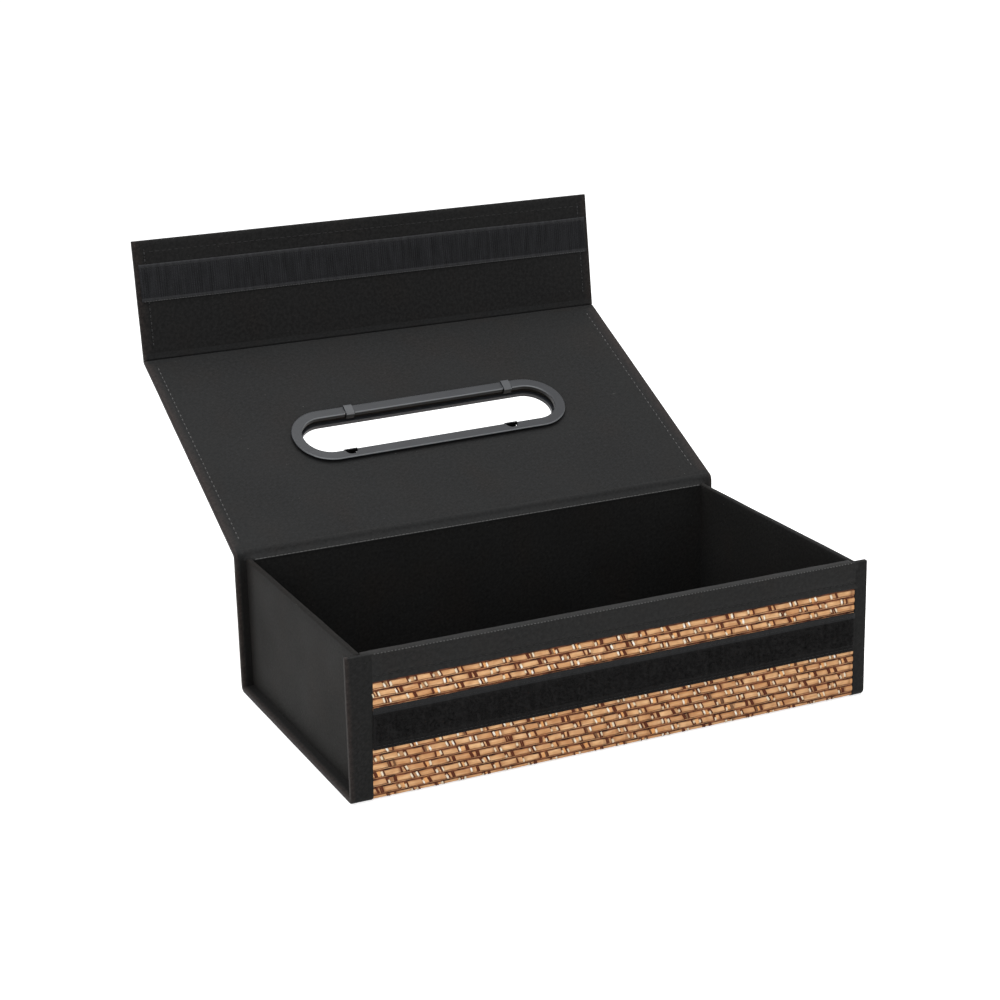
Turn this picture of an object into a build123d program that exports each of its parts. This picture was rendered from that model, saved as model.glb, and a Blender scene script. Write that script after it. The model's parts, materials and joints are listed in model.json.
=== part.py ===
from build123d import *

import os
from math import cos, radians, sin

# A tissue box that opens like a book. One wrap of five stiff panels (front, bottom, back, lid
# and flap) has a woven skin outside and black cloth inside. Two side walls stand between its
# front and back and make the tray. The origin is the middle of the underside, +Z is up, +X is
# to the right and the front faces -Y. The box stands open: the lid leans back and the flap
# stands up from its far edge. All sizes are in millimetres and degrees.

# Overall sizes
width = 270.0
depth = 151.0
height = 70.0
flap_length = 64.7

# How far it stands open: the lid from closed, and the flap out of line with the lid
lid_angle = 153.9
flap_fold = 56.8

# Layers of the wrap
weave_thickness = 0.8
board_thickness = 2.0
cloth_thickness = 0.4
fold_ease = 0.2

# Hems: the inner cloth turned over the edges to the outside
left_hem = 11.5
right_hem = 7.0
flap_end_hem = 10.0
front_strip_drop = 13.3

# Side walls and inner cards
wall_inset = 5.5
wall_board_thickness = 2.0
inner_card_thickness = 1.6
liner_thickness = 0.6
floor_card_thickness = 1.0

# Cloth hinges
hinge_roll_radius = 1.2
hinge_neck_thickness = 1.2
hinge_play = 0.4
lid_play = 0.4
fold_play = 0.4

# Hook-and-loop tapes
tape_width = 20.0
pile_width = 13.0
tape_base = 0.5
loop_pile = 0.9
hook_pile = 0.7
loop_tape_drop = 25.4
hook_tape_from_edge = 12.8
hook_tape_end_gap = 2.0
closure_play = 0.4

# Tissue slot in the lid
slot_length = 145.0
slot_width = 26.0
slot_from_hinge = 74.2
slot_turn = 1.25
ring_play = 0.7
ring_band = 5.8
ring_thickness = 2.3
ring_foot_height = 1.2
ring_foot_inset = 1.0
bezel_thickness = 1.6
lip_thickness = 1.2
lip_height = 0.4
cut_play = 0.8
edge_round = 0.5

# Claws of the slot ring on the flap's side, and the bezel's locating tabs on the hinge's side
claw_width = 4.6
claw_thickness = 1.2
claw_reach = 4.6
claw_heel = 1.3
claw_toe = 0.1
claw_drop = 1.0
claw_gap = 0.5
claw_from_middle = (41.5, 52.0)
tab_width = 7.4
tab_thickness = 0.5
tab_sink = 0.3
tab_notch_radius = 3.5
tab_notch_shift = 0.3

# Layer heights in a panel, from its outer face inwards
panel_thickness = weave_thickness + board_thickness + cloth_thickness
skin_layer = (0, weave_thickness)
board_layer = (weave_thickness, weave_thickness + board_thickness)
cloth_layer = (panel_thickness - cloth_thickness, panel_thickness)
whole_panel = (0, panel_thickness)

# Spans from left to right
half = width / 2
full_span = (-half, half)
left_hem_span = (-half, -half + left_hem)
right_hem_span = (half - right_hem, half)
left_edge_span = (-half, -half + cloth_thickness)
right_edge_span = (half - cloth_thickness, half)
board_span = (-half + cloth_thickness, half - cloth_thickness)
weave_span = (-half + left_hem, half - right_hem)

# The inner cloth of a panel with its two side hems, as (span, layer) pairs
hemmed_cloth = (
    (full_span, cloth_layer),
    (left_hem_span, skin_layer),
    (right_hem_span, skin_layer),
    (left_edge_span, whole_panel),
    (right_edge_span, whole_panel),
)

# Inside of the tray
fold_radius = panel_thickness + fold_ease
wall_thickness = wall_board_thickness + 2 * cloth_thickness
inner_half = half - wall_inset - wall_thickness
inner_span = (-inner_half, inner_half)
inner_wall = inner_card_thickness + liner_thickness
card_layer = (panel_thickness, panel_thickness + inner_card_thickness)
liner_layer = (card_layer[1], card_layer[1] + liner_thickness)
floor_top = panel_thickness + floor_card_thickness + liner_thickness
wall_depth = (fold_radius, depth - fold_radius)
floor_depth = (panel_thickness + inner_wall, depth - panel_thickness - inner_wall)

# Lid and flap lengths, from hinge line to hinge line. The closed flap hangs just clear of
# the front, with both tapes between them.
loop_tape_thickness = tape_base + loop_pile
hook_tape_thickness = tape_base + hook_pile
lid_length = depth + loop_tape_thickness + hook_tape_thickness + closure_play
lid_start = hinge_roll_radius + hinge_play
fold_setback = panel_thickness / 2 + fold_play
lid_along = (lid_start, lid_length - fold_setback)
flap_along = (fold_setback, flap_length)

# Panel planes: local X runs to the right, local Y along the wrap and local Z inwards
front_plane = Plane(origin=(0, -depth / 2, height), x_dir=(1, 0, 0), z_dir=(0, 1, 0))
bottom_plane = Plane(origin=(0, -depth / 2, 0), x_dir=(1, 0, 0), z_dir=(0, 0, 1))
back_plane = Plane(origin=(0, depth / 2, 0), x_dir=(1, 0, 0), z_dir=(0, -1, 0))


def hinged_plane(hinge, angle):
    """The plane of a panel that hangs on a hinge line, at an angle from the closed lid."""
    inward = Vector(0, -sin(radians(angle)), -cos(radians(angle)))
    return Plane(origin=hinge - inward * (panel_thickness / 2), x_dir=(1, 0, 0), z_dir=inward)


lid_hinge = Vector(0, (depth - panel_thickness) / 2, height + lid_play + panel_thickness / 2)
lid_plane = hinged_plane(lid_hinge, lid_angle)
flap_hinge = lid_hinge + lid_plane.y_dir * lid_length
flap_plane = hinged_plane(flap_hinge, lid_angle - flap_fold)

# Side views of the tray: local X runs inwards from the outer face and local Y up
front_side = Plane(origin=(0, -depth / 2, 0), x_dir=(0, 1, 0), z_dir=(1, 0, 0))
back_side = Plane(origin=(0, depth / 2, 0), x_dir=(0, -1, 0), z_dir=(-1, 0, 0))

# The slot, turned a little on the lid: local X along the slot, local Z inwards
slot_plane = Plane(
    origin=lid_plane.origin + lid_plane.y_dir * slot_from_hinge,
    x_dir=lid_plane.x_dir * cos(radians(slot_turn)) + lid_plane.y_dir * sin(radians(slot_turn)),
    z_dir=lid_plane.z_dir,
)
lip_length = slot_length + 2 * lip_thickness
lip_width = slot_width + 2 * lip_thickness
cut_length = lip_length + 2 * cut_play
cut_width = lip_width + 2 * cut_play
ring_inner_length = slot_length + 2 * ring_play
ring_inner_width = slot_width + 2 * ring_play
ring_length = ring_inner_length + 2 * ring_band
ring_width = ring_inner_width + 2 * ring_band
ring_top = panel_thickness + ring_thickness


def middle(span):
    return (span[0] + span[1]) / 2


def length(span):
    return span[1] - span[0]


def slab(plane, across, along, layer):
    """Add a flat layer: low and high values along the plane's own X, Y and Z."""
    with BuildSketch(plane.offset(layer[0])) as outline:
        with Locations((middle(across), middle(along))):
            Rectangle(length(across), length(along))
    extrude(outline.sketch, amount=length(layer))


def standing_layer(side, across, layer, top):
    """Add a layer of the front or back, which comes down and turns under the tray."""
    outer, inner = layer
    start = across[0] if side is front_side else -across[1]
    with BuildSketch(side.offset(start)) as outline:
        with BuildLine():
            Line((outer, top), (outer, fold_radius))
            CenterArc((fold_radius, fold_radius), fold_radius - outer, 180, 90)
            Line((fold_radius, outer), (fold_radius, inner))
            CenterArc((fold_radius, fold_radius), fold_radius - inner, 270, -90)
            Line((inner, fold_radius), (inner, top))
            Line((inner, top), (outer, top))
        make_face()
    extrude(outline.sketch, amount=length(across))


def cut_slot():
    """Cut the tissue slot through a layer of the lid."""
    with BuildSketch(slot_plane) as outline:
        SlotOverall(cut_length, cut_width)
    extrude(outline.sketch, amount=panel_thickness, mode=Mode.SUBTRACT)


def tape(plane, across, along, base, pile):
    """Add a woven tape, with its pile in a band between two bare selvedges."""
    selvedge = (tape_width - pile_width) / 2
    slab(plane, across, along, base)
    slab(plane, across, (along[0] + selvedge, along[1] - selvedge), pile)


def clip_places(side):
    """Distances along the slot of the two claws or tabs on one of its sides."""
    near, far = claw_from_middle
    return (-near * side, far * side)


def clip_planes(side):
    """Side views of a side's claws or tabs: local X runs outwards from the slot, local Y inwards."""
    for place in clip_places(side):
        yield Plane(
            origin=slot_plane.from_local_coords((place, 0, 0)),
            x_dir=slot_plane.y_dir * side,
            z_dir=slot_plane.x_dir * side,
        )


# ---- Tray: front, bottom and back of the wrap ----

bottom_along = (fold_radius, depth - fold_radius)

with BuildPart() as front_board:
    slab(front_plane, board_span, (cloth_thickness, height - fold_radius), board_layer)

with BuildPart() as bottom_board:
    slab(bottom_plane, board_span, bottom_along, board_layer)

with BuildPart() as back_board:
    slab(back_plane, board_span, (fold_radius, height), board_layer)

with BuildPart() as front_weave:
    standing_layer(front_side, weave_span, skin_layer, height - front_strip_drop)

with BuildPart() as bottom_weave:
    slab(bottom_plane, weave_span, bottom_along, skin_layer)

with BuildPart() as back_weave:
    standing_layer(back_side, weave_span, skin_layer, height)

with BuildPart() as front_lining:
    for across, layer in hemmed_cloth:
        standing_layer(front_side, across, layer, height - cloth_thickness)

with BuildPart() as bottom_lining:
    for across, layer in hemmed_cloth:
        slab(bottom_plane, across, bottom_along, layer)

with BuildPart() as back_lining:
    for across, layer in hemmed_cloth:
        standing_layer(back_side, across, layer, height)

# Black cloth over the front's top edge, down to the weave and in over the inner wall
with BuildPart() as front_edge_strip:
    strip_top = (0, cloth_thickness)
    slab(front_plane, weave_span, (0, front_strip_drop), skin_layer)
    slab(front_plane, full_span, strip_top, whole_panel)
    slab(front_plane, inner_span, strip_top, (panel_thickness, liner_layer[1]))

# ---- Tray: side walls ----

wall_up = (panel_thickness, height - cloth_thickness)


def wall_layers(outside):
    """The spans of one side wall's outer cloth, board and inner cloth, from its outer face."""
    inward = 1 if outside < 0 else -1
    steps = (cloth_thickness, wall_board_thickness, cloth_thickness)
    spans = []
    for step in steps:
        spans.append(tuple(sorted((outside, outside + inward * step))))
        outside += inward * step
    return spans


def wall_board(outside):
    """Add the board of the side wall that has its outer face at X = outside."""
    slab(bottom_plane, wall_layers(outside)[1], wall_depth, wall_up)


def wall_cloth(outside):
    """Add that wall's cloth: both faces, and over the board's top edge."""
    outer, core, inner = wall_layers(outside)
    slab(bottom_plane, outer, wall_depth, (panel_thickness, height))
    slab(bottom_plane, inner, wall_depth, (panel_thickness, height))
    slab(bottom_plane, core, wall_depth, (wall_up[1], height))


with BuildPart() as left_wall_board:
    wall_board(-half + wall_inset)

with BuildPart() as left_wall_cover:
    wall_cloth(-half + wall_inset)

with BuildPart() as right_wall_board:
    wall_board(half - wall_inset)

with BuildPart() as right_wall_cover:
    wall_cloth(half - wall_inset)

# ---- Tray: inner cards and liners ----

front_card_along = (cloth_thickness, height - fold_radius)
back_card_along = (fold_radius, height - liner_thickness)
floor_card_layer = (panel_thickness, panel_thickness + floor_card_thickness)

with BuildPart() as front_inner_card:
    slab(front_plane, inner_span, front_card_along, card_layer)

with BuildPart() as front_liner:
    slab(front_plane, inner_span, front_card_along, liner_layer)

with BuildPart() as back_inner_card:
    slab(back_plane, inner_span, back_card_along, card_layer)

with BuildPart() as back_liner:
    slab(back_plane, inner_span, (fold_radius, height), liner_layer)
    slab(back_plane, inner_span, (height - liner_thickness, height), card_layer)

with BuildPart() as floor_card:
    slab(bottom_plane, inner_span, floor_depth, floor_card_layer)

with BuildPart() as floor_liner:
    slab(bottom_plane, inner_span, floor_depth, (floor_card_layer[1], floor_top))

# ---- Tray: loop tape and lid hinge ----

with BuildPart() as loop_tape:
    tape(
        front_plane,
        weave_span,
        (loop_tape_drop, loop_tape_drop + tape_width),
        (-tape_base, 0),
        (-loop_tape_thickness, -tape_base),
    )

# The cloth fold that carries the lid, as a roll on the hinge line with a neck down to the back
with BuildPart() as lid_hinge_fold:
    with BuildSketch(Plane.YZ.offset(-half)):
        with Locations((lid_hinge.Y, lid_hinge.Z)):
            Circle(hinge_roll_radius)
        with Locations((lid_hinge.Y, (height + lid_hinge.Z) / 2)):
            Rectangle(hinge_neck_thickness, lid_hinge.Z - height)
    extrude(amount=width)

# ---- Lid ----

with BuildPart() as lid_board:
    slab(lid_plane, board_span, lid_along, board_layer)
    cut_slot()

with BuildPart() as lid_weave:
    slab(lid_plane, weave_span, lid_along, skin_layer)
    cut_slot()

with BuildPart() as lid_lining:
    for across, layer in hemmed_cloth:
        slab(lid_plane, across, lid_along, layer)
    cut_slot()

# The frame on the outside of the slot: a flat band, a low lip inside it and two tabs
with BuildPart() as slot_bezel:
    with BuildSketch(slot_plane.offset(-bezel_thickness)):
        SlotOverall(ring_length, ring_width)
    extrude(amount=bezel_thickness)
    outer_rim = slot_bezel.edges().group_by(Axis(slot_plane.origin, slot_plane.z_dir))[0]
    fillet(outer_rim, radius=edge_round)
    with BuildSketch(slot_plane):
        SlotOverall(lip_length, lip_width)
    extrude(amount=lip_height)
    with BuildSketch(slot_plane.offset(-bezel_thickness)):
        SlotOverall(slot_length, slot_width)
    extrude(amount=bezel_thickness + lip_height, mode=Mode.SUBTRACT)
    tab_height = ring_top - tab_sink
    for side_view in clip_planes(-1):
        with BuildSketch(side_view.offset(-tab_width / 2)):
            with Locations((slot_width / 2 + tab_thickness / 2, tab_height / 2)):
                Rectangle(tab_thickness, tab_height)
        extrude(amount=tab_width)

# The ring on the inside: a flange on a narrower foot, with two claws into the cut and two notches for the tabs
with BuildPart() as slot_ring:
    inset = 2 * ring_foot_inset
    with BuildSketch(slot_plane.offset(panel_thickness)):
        SlotOverall(ring_length - inset, ring_width - inset)
        SlotOverall(ring_inner_length, ring_inner_width, mode=Mode.SUBTRACT)
    extrude(amount=ring_foot_height)
    with BuildSketch(slot_plane.offset(panel_thickness + ring_foot_height)):
        SlotOverall(ring_length, ring_width)
        SlotOverall(ring_inner_length, ring_inner_width, mode=Mode.SUBTRACT)
    extrude(amount=ring_thickness - ring_foot_height)
    top_rims = slot_ring.edges().group_by(Axis(slot_plane.origin, slot_plane.z_dir))[-1]
    fillet(top_rims, radius=edge_round)
    stem = (slot_width / 2, slot_width / 2 + claw_thickness)
    for side_view in clip_planes(1):
        notch = (stem[0], stem[1] + claw_gap)
        with BuildSketch(side_view.offset(-claw_width / 2 - claw_gap)):
            with Locations((middle(notch), panel_thickness + ring_thickness / 2)):
                Rectangle(length(notch), ring_thickness)
        extrude(amount=claw_width + 2 * claw_gap, mode=Mode.SUBTRACT)
        with BuildSketch(side_view.offset(-claw_width / 2)):
            Polygon(
                (stem[0], panel_thickness - claw_drop),
                (stem[1], panel_thickness - claw_drop),
                (stem[1], ring_top),
                (stem[1] + claw_reach, ring_top),
                (stem[1] + claw_reach, ring_top + claw_heel),
                (stem[0], ring_top + claw_toe),
                align=None,
            )
        extrude(amount=claw_width)
    with BuildSketch(slot_plane.offset(panel_thickness)) as tab_notches:
        notch_middle = -ring_inner_width / 2 - tab_notch_shift
        with Locations(*[(place, notch_middle) for place in clip_places(-1)]):
            Circle(tab_notch_radius)
    extrude(tab_notches.sketch, amount=ring_thickness, mode=Mode.SUBTRACT)

# The cloth fold that carries the flap, with a neck from the lid's edge
with BuildPart() as flap_hinge_fold:
    with BuildSketch(Plane(origin=flap_hinge, x_dir=lid_plane.y_dir, z_dir=(1, 0, 0)).offset(-half)):
        Circle(hinge_roll_radius)
        with Locations((-fold_setback / 2, 0)):
            Rectangle(fold_setback, hinge_neck_thickness)
    extrude(amount=width)

# ---- Flap ----

with BuildPart() as flap_board:
    slab(flap_plane, board_span, (fold_setback, flap_length - cloth_thickness), board_layer)

with BuildPart() as flap_weave:
    slab(flap_plane, weave_span, (fold_setback, flap_length - flap_end_hem), skin_layer)

with BuildPart() as flap_lining:
    for across, layer in hemmed_cloth:
        slab(flap_plane, across, flap_along, layer)
    slab(flap_plane, full_span, (flap_length - flap_end_hem, flap_length), skin_layer)
    slab(flap_plane, full_span, (flap_length - cloth_thickness, flap_length), whole_panel)

with BuildPart() as hook_tape:
    tape_end = flap_length - hook_tape_from_edge
    tape(
        flap_plane,
        (-half + hook_tape_end_gap, half - hook_tape_end_gap),
        (tape_end - tape_width, tape_end),
        (panel_thickness, panel_thickness + tape_base),
        (panel_thickness + tape_base, panel_thickness + hook_tape_thickness),
    )

# ---- Labels and files, one per piece ----

pieces = {
    "front_board": front_board,
    "bottom_board": bottom_board,
    "back_board": back_board,
    "front_weave": front_weave,
    "bottom_weave": bottom_weave,
    "back_weave": back_weave,
    "front_lining": front_lining,
    "bottom_lining": bottom_lining,
    "back_lining": back_lining,
    "front_edge_strip": front_edge_strip,
    "left_wall_board": left_wall_board,
    "left_wall_cover": left_wall_cover,
    "right_wall_board": right_wall_board,
    "right_wall_cover": right_wall_cover,
    "front_inner_card": front_inner_card,
    "front_liner": front_liner,
    "back_inner_card": back_inner_card,
    "back_liner": back_liner,
    "floor_card": floor_card,
    "floor_liner": floor_liner,
    "loop_tape": loop_tape,
    "lid_hinge_fold": lid_hinge_fold,
    "lid_board": lid_board,
    "lid_weave": lid_weave,
    "lid_lining": lid_lining,
    "slot_bezel": slot_bezel,
    "slot_ring": slot_ring,
    "flap_hinge_fold": flap_hinge_fold,
    "flap_board": flap_board,
    "flap_weave": flap_weave,
    "flap_lining": flap_lining,
    "hook_tape": hook_tape,
}

os.makedirs("parts", exist_ok=True)
for name, piece in pieces.items():
    piece.part.label = name
    export_step(piece.part, f"parts/{name}.step")
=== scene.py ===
"""The looks of an open book-style tissue box: black cloth over board, woven slats and hook-and-loop tape."""

import json
import math

import bpy
import numpy as np
from mathutils import Matrix, Vector

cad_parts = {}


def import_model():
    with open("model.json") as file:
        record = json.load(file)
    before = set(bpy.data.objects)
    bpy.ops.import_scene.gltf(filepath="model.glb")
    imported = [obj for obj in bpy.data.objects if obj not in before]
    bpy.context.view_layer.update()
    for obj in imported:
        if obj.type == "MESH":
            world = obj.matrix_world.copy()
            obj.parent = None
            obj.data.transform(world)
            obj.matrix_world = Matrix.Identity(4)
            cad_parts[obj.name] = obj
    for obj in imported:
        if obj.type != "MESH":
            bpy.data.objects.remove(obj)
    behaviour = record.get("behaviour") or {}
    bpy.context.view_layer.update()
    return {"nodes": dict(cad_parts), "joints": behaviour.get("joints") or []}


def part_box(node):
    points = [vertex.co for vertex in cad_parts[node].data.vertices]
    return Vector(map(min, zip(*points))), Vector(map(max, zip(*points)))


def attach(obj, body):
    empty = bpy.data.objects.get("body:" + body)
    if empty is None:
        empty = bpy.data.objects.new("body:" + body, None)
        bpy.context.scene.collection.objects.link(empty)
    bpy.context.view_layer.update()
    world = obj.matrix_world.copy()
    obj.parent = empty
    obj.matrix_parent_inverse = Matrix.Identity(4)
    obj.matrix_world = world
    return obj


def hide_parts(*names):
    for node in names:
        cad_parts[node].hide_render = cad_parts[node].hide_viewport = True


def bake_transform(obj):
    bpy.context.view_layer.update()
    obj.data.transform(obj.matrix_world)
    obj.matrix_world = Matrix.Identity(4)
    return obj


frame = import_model()

MM = 0.001

# ---- Sizes read from the frame ----

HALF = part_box("bottom_lining")[1].x
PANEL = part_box("bottom_lining")[1].z
FRONT_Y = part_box("front_lining")[0].y
BACK_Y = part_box("back_lining")[1].y
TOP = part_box("back_lining")[1].z
DEPTH = BACK_Y - FRONT_Y
WEAVE_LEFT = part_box("bottom_weave")[0].x
WEAVE_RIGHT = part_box("bottom_weave")[1].x
INNER_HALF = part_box("floor_liner")[1].x
WALL_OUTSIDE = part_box("right_wall_cover")[1].x
FLOOR_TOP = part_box("floor_liner")[1].z
INNER_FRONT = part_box("front_liner")[1].y
INNER_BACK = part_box("back_liner")[0].y
FOLD_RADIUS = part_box("bottom_board")[0].y - FRONT_Y
STRIP_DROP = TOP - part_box("front_weave")[1].z
RIM = INNER_FRONT - FRONT_Y  # thickness of the front and back with their inner cards
LOOP_LOW, LOOP_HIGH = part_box("loop_tape")
HOOK_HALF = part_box("hook_tape")[1].x

joints = {joint["name"]: joint for joint in frame["joints"]}
lid_hinge = np.array(joints["lid_hinge"]["pos_m"][1:])
flap_hinge = np.array(joints["flap_hinge"]["pos_m"][1:])
LID_LENGTH = float(np.linalg.norm(flap_hinge - lid_hinge))
LID_TURN = math.atan2(*(flap_hinge - lid_hinge)[::-1])
# The flap's joint starts where the flap lies in line with the lid
FLAP_TURN = LID_TURN - math.radians(joints["flap_hinge"]["range_deg"][0])

# ---- Sizes of the looks ----

EDGE_ROUND = 0.9 * MM  # rounding of the wrap's cloth-covered edges
CORNER_ROUND = 0.5 * MM
HEM_RISE = 0.05 * MM  # how far a hem's edge stands proud of the wrap
RUBBED_AND_LIT_HEM = 2.2 * MM  # the left edge is made lighter this far onto the outer face: rubbed, with a painted highlight
HEM_TAPER = 2.0 * MM  # the left hem is this much wider at the top of the front than at its foot
CLOTH_SAMPLE = 2.6 * MM  # spacing of the points of a cloth-covered face
TWILL_PITCH = 0.55 * MM
WEAVE_RELIEF = 0.05 * MM  # depth of the cloth's weave
UNEVEN = 0.16 * MM  # how far the lining of the lid and flap swells and sinks
GROOVE = 0.22 * MM  # depth of the groove that a row of stitches pulls
CLOTH_CUT = WEAVE_LEFT + 4 * HALF - WEAVE_RIGHT + 2 * PANEL  # width of the black cloth, with its hems
WEAVE_CUT = WEAVE_RIGHT - WEAVE_LEFT

HINGE_DROP = 6.0 * MM  # the lid's hinge cloth is modelled from this far down the back
LID_REACH = 4.6 * MM  # to this far along the lid
BACK_TO_LID = np.array([0.529, 0.849])  # (Y, Z), midway between the back's way up and the lid's
FLAP_REACH = 4.3 * MM  # the flap's hinge cloth runs this far to both sides of the hinge

SLAT_PITCH = 3.84 * MM
SLAT_HALF = 1.46 * MM
SLAT_CROWN = 0.07 * MM  # depth of a slat's crown, just under the hems
SLAT_VALLEY = 0.60 * MM
# Where the points of a slat's section lie, in shares of half a pitch
SLAT_ACROSS = (-1.0, -0.84, -0.76, -0.66, -0.52, -0.30, 0.0, 0.30, 0.52, 0.66, 0.76, 0.84)
SLAT_ACROSS_PLAIN = (-1.0, -0.80, -0.64, -0.28, 0.28, 0.64, 0.80)
BIND_PERIOD = 11.6 * MM  # from one bound place to the next along a slat
BIND_START = 0.2 * MM  # X of a bound place of the first slat
BIND_HALF = 1.5 * MM  # from the middle of a bound place to each of its two threads
BIND_LEAN = 0.40  # sideways run of a binding thread over its run across the slat
BIND_WIDTH = 0.52 * MM
UNDER_HEM = 1.6 * MM  # the weave runs on this far under the hems

LID_SEAMS = (5.4 * MM, 7.5 * MM)
FLAP_SEAMS = (6.0 * MM, 5.8 * MM)
FRONT_SEAM_DROP = 10.3 * MM
FLAP_SEAM_FROM_END = 6.2 * MM
STITCH_PITCH = 3.5 * MM
STITCH_LENGTH = 2.5 * MM
STITCH_RADIUS = 0.17 * MM
STITCH_LIFT = 0.02 * MM  # how far a row of stitches stands off its cloth
KNOT_LENGTH = 1.05 * MM  # the part of a stitch that stands out of the lid's and flap's cloth
KNOT_RADIUS = 0.31 * MM
PIT_LENGTH = 0.9 * MM
PIT_RADIUS = 0.24 * MM

SELVEDGE = 3.5 * MM
HOOK_SELVEDGE = 2.6 * MM
TAPE_BASE = 0.5 * MM

SLOT_LENGTH = 145.0 * MM
SLOT_WIDTH = 26.0 * MM
SLOT_TURN = math.radians(1.25)
CUT_PLAY = 2.0 * MM  # from the slot's clear opening out to the cut through the layers
RING_RISE = 2.3 * MM  # from the lid's lining up to the ring's face
SLATS_BACK = 2.6 * MM  # the slats are trimmed this much further back, under the bezel


# ---- Side views of the wrap ----


class Flat:
    """A straight panel in side view. It runs along its outer face, and inward is its normal."""

    def __init__(self, hinge, turn):
        self.along = np.array([math.cos(turn), math.sin(turn)])
        self.inward = np.array([-self.along[1], self.along[0]])
        self.origin = hinge - self.inward * PANEL / 2

    def side(self, s):
        """Outer points and inward directions, as (Y, Z), at distances s along the panel."""
        s = np.asarray(s, float)
        return self.origin + s[..., None] * self.along, np.broadcast_to(self.inward, s.shape + (2,))

    def at(self, s, depth):
        return self.origin + s * self.along + depth * self.inward

    def span(self, node):
        """Where a CAD node starts and ends along this panel."""
        points = np.array([v.co for v in frame["nodes"][node].data.vertices])[:, 1:]
        along = (points - self.origin) @ self.along
        return float(along.min()), float(along.max())


class Tray:
    """The outer face of the tray's wrap in side view: down the front, under and up the back."""

    straight = TOP - FOLD_RADIUS
    bend = FOLD_RADIUS * math.pi / 2
    floor = DEPTH - 2 * FOLD_RADIUS
    length = 2 * straight + 2 * bend + floor

    def side(self, s):
        s = np.asarray(s, float)
        first = np.clip((s - self.straight) / self.bend, 0, 1)
        second = np.clip((s - self.straight - self.bend - self.floor) / self.bend, 0, 1)
        angle = (first + second) * math.pi / 2
        inward = np.stack([np.cos(angle), np.sin(angle)], -1)
        over = np.clip(s - self.straight - self.bend, 0, self.floor)
        rise = np.clip(s - self.straight - 2 * self.bend - self.floor, 0, None)
        down = np.minimum(s, self.straight)
        centre = np.stack([FRONT_Y + FOLD_RADIUS + over, TOP - down + rise], -1)
        return centre - inward * FOLD_RADIUS, inward


class Bend:
    """A folded run of the wrap, from matching points of its outer and inner faces in side view."""

    def __init__(self, outer, inner):
        self.outer = outer
        self.inward = (inner - outer) / PANEL
        self.s = running_length(outer)
        self.length = self.s[-1]

    def side(self, s):
        pairs = (self.outer, self.inward)
        return tuple(np.stack([np.interp(s, self.s, line[:, i]) for i in (0, 1)], -1) for line in pairs)


def running_length(line):
    steps = np.linalg.norm(np.diff(line, axis=0), axis=1)
    return np.concatenate([[0.0], np.cumsum(steps)])


def joined(*axes):
    """Points from their coordinates, each an array or a number."""
    return np.stack(np.broadcast_arrays(*axes), -1)


def eased(points, count, passes=3):
    """Evenly spaced points along a line through points, with its corners eased."""
    points = np.array(points, float)
    run = running_length(points)
    even = np.linspace(0, run[-1], count)
    line = np.stack([np.interp(even, run, points[:, i]) for i in range(points.shape[1])], -1)
    for _ in range(passes):
        line[1:-1] = (line[:-2] + 2 * line[1:-1] + line[2:]) / 4
    return line


def place(path, x, s, depth):
    """Points in the row frame at x, s along the path and depth inward from the outer face."""
    x, s, depth = np.broadcast_arrays(x, s, depth)
    outer, inward = path.side(s)
    yz = outer + inward * depth[..., None]
    return np.concatenate([x[..., None], yz], -1)


def spread(start, end, step):
    """Evenly spaced values from start to end, about step apart."""
    return np.linspace(start, end, max(2, round((end - start) / step) + 1))


def soft_step(value, low, high):
    """A soft step from 0 at low to 1 at high."""
    t = np.clip((value - low) / (high - low), 0, 1)
    return t * t * (3 - 2 * t)


def amid(value, low, high, reach):
    """1 between low and high, running out softly to 0 over a reach at both."""
    return soft_step(value, low, low + reach) * (1 - soft_step(value, high - reach, high))


def ripples(seed, waves=5, shortest=45 * MM, longest=160 * MM):
    """A gentle unevenness over (x, s), between about -1 and 1."""
    rng = np.random.default_rng(seed)
    turns = rng.uniform(0, math.pi, waves)
    lengths = rng.uniform(shortest, longest, waves)
    phases = rng.uniform(0, 2 * math.pi, waves)

    def height(x, s):
        total = 0.0
        for turn, wave, phase in zip(turns, lengths, phases):
            total = total + np.sin((x * math.cos(turn) + s * math.sin(turn)) * 2 * math.pi / wave + phase)
        return total / waves

    return height


tray = Tray()
lid = Flat(lid_hinge, LID_TURN)
flap = Flat(flap_hinge, FLAP_TURN)

FLAP_END = flap.span("flap_lining")[1]
FLAP_HEM = FLAP_END - flap.span("flap_weave")[1]
HOOK_START, HOOK_END = flap.span("hook_tape")


# ---- Meshes ----


def put(name, data):
    """A new object in the scene."""
    thing = bpy.data.objects.new(name, data)
    bpy.context.scene.collection.objects.link(thing)
    return thing


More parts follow.
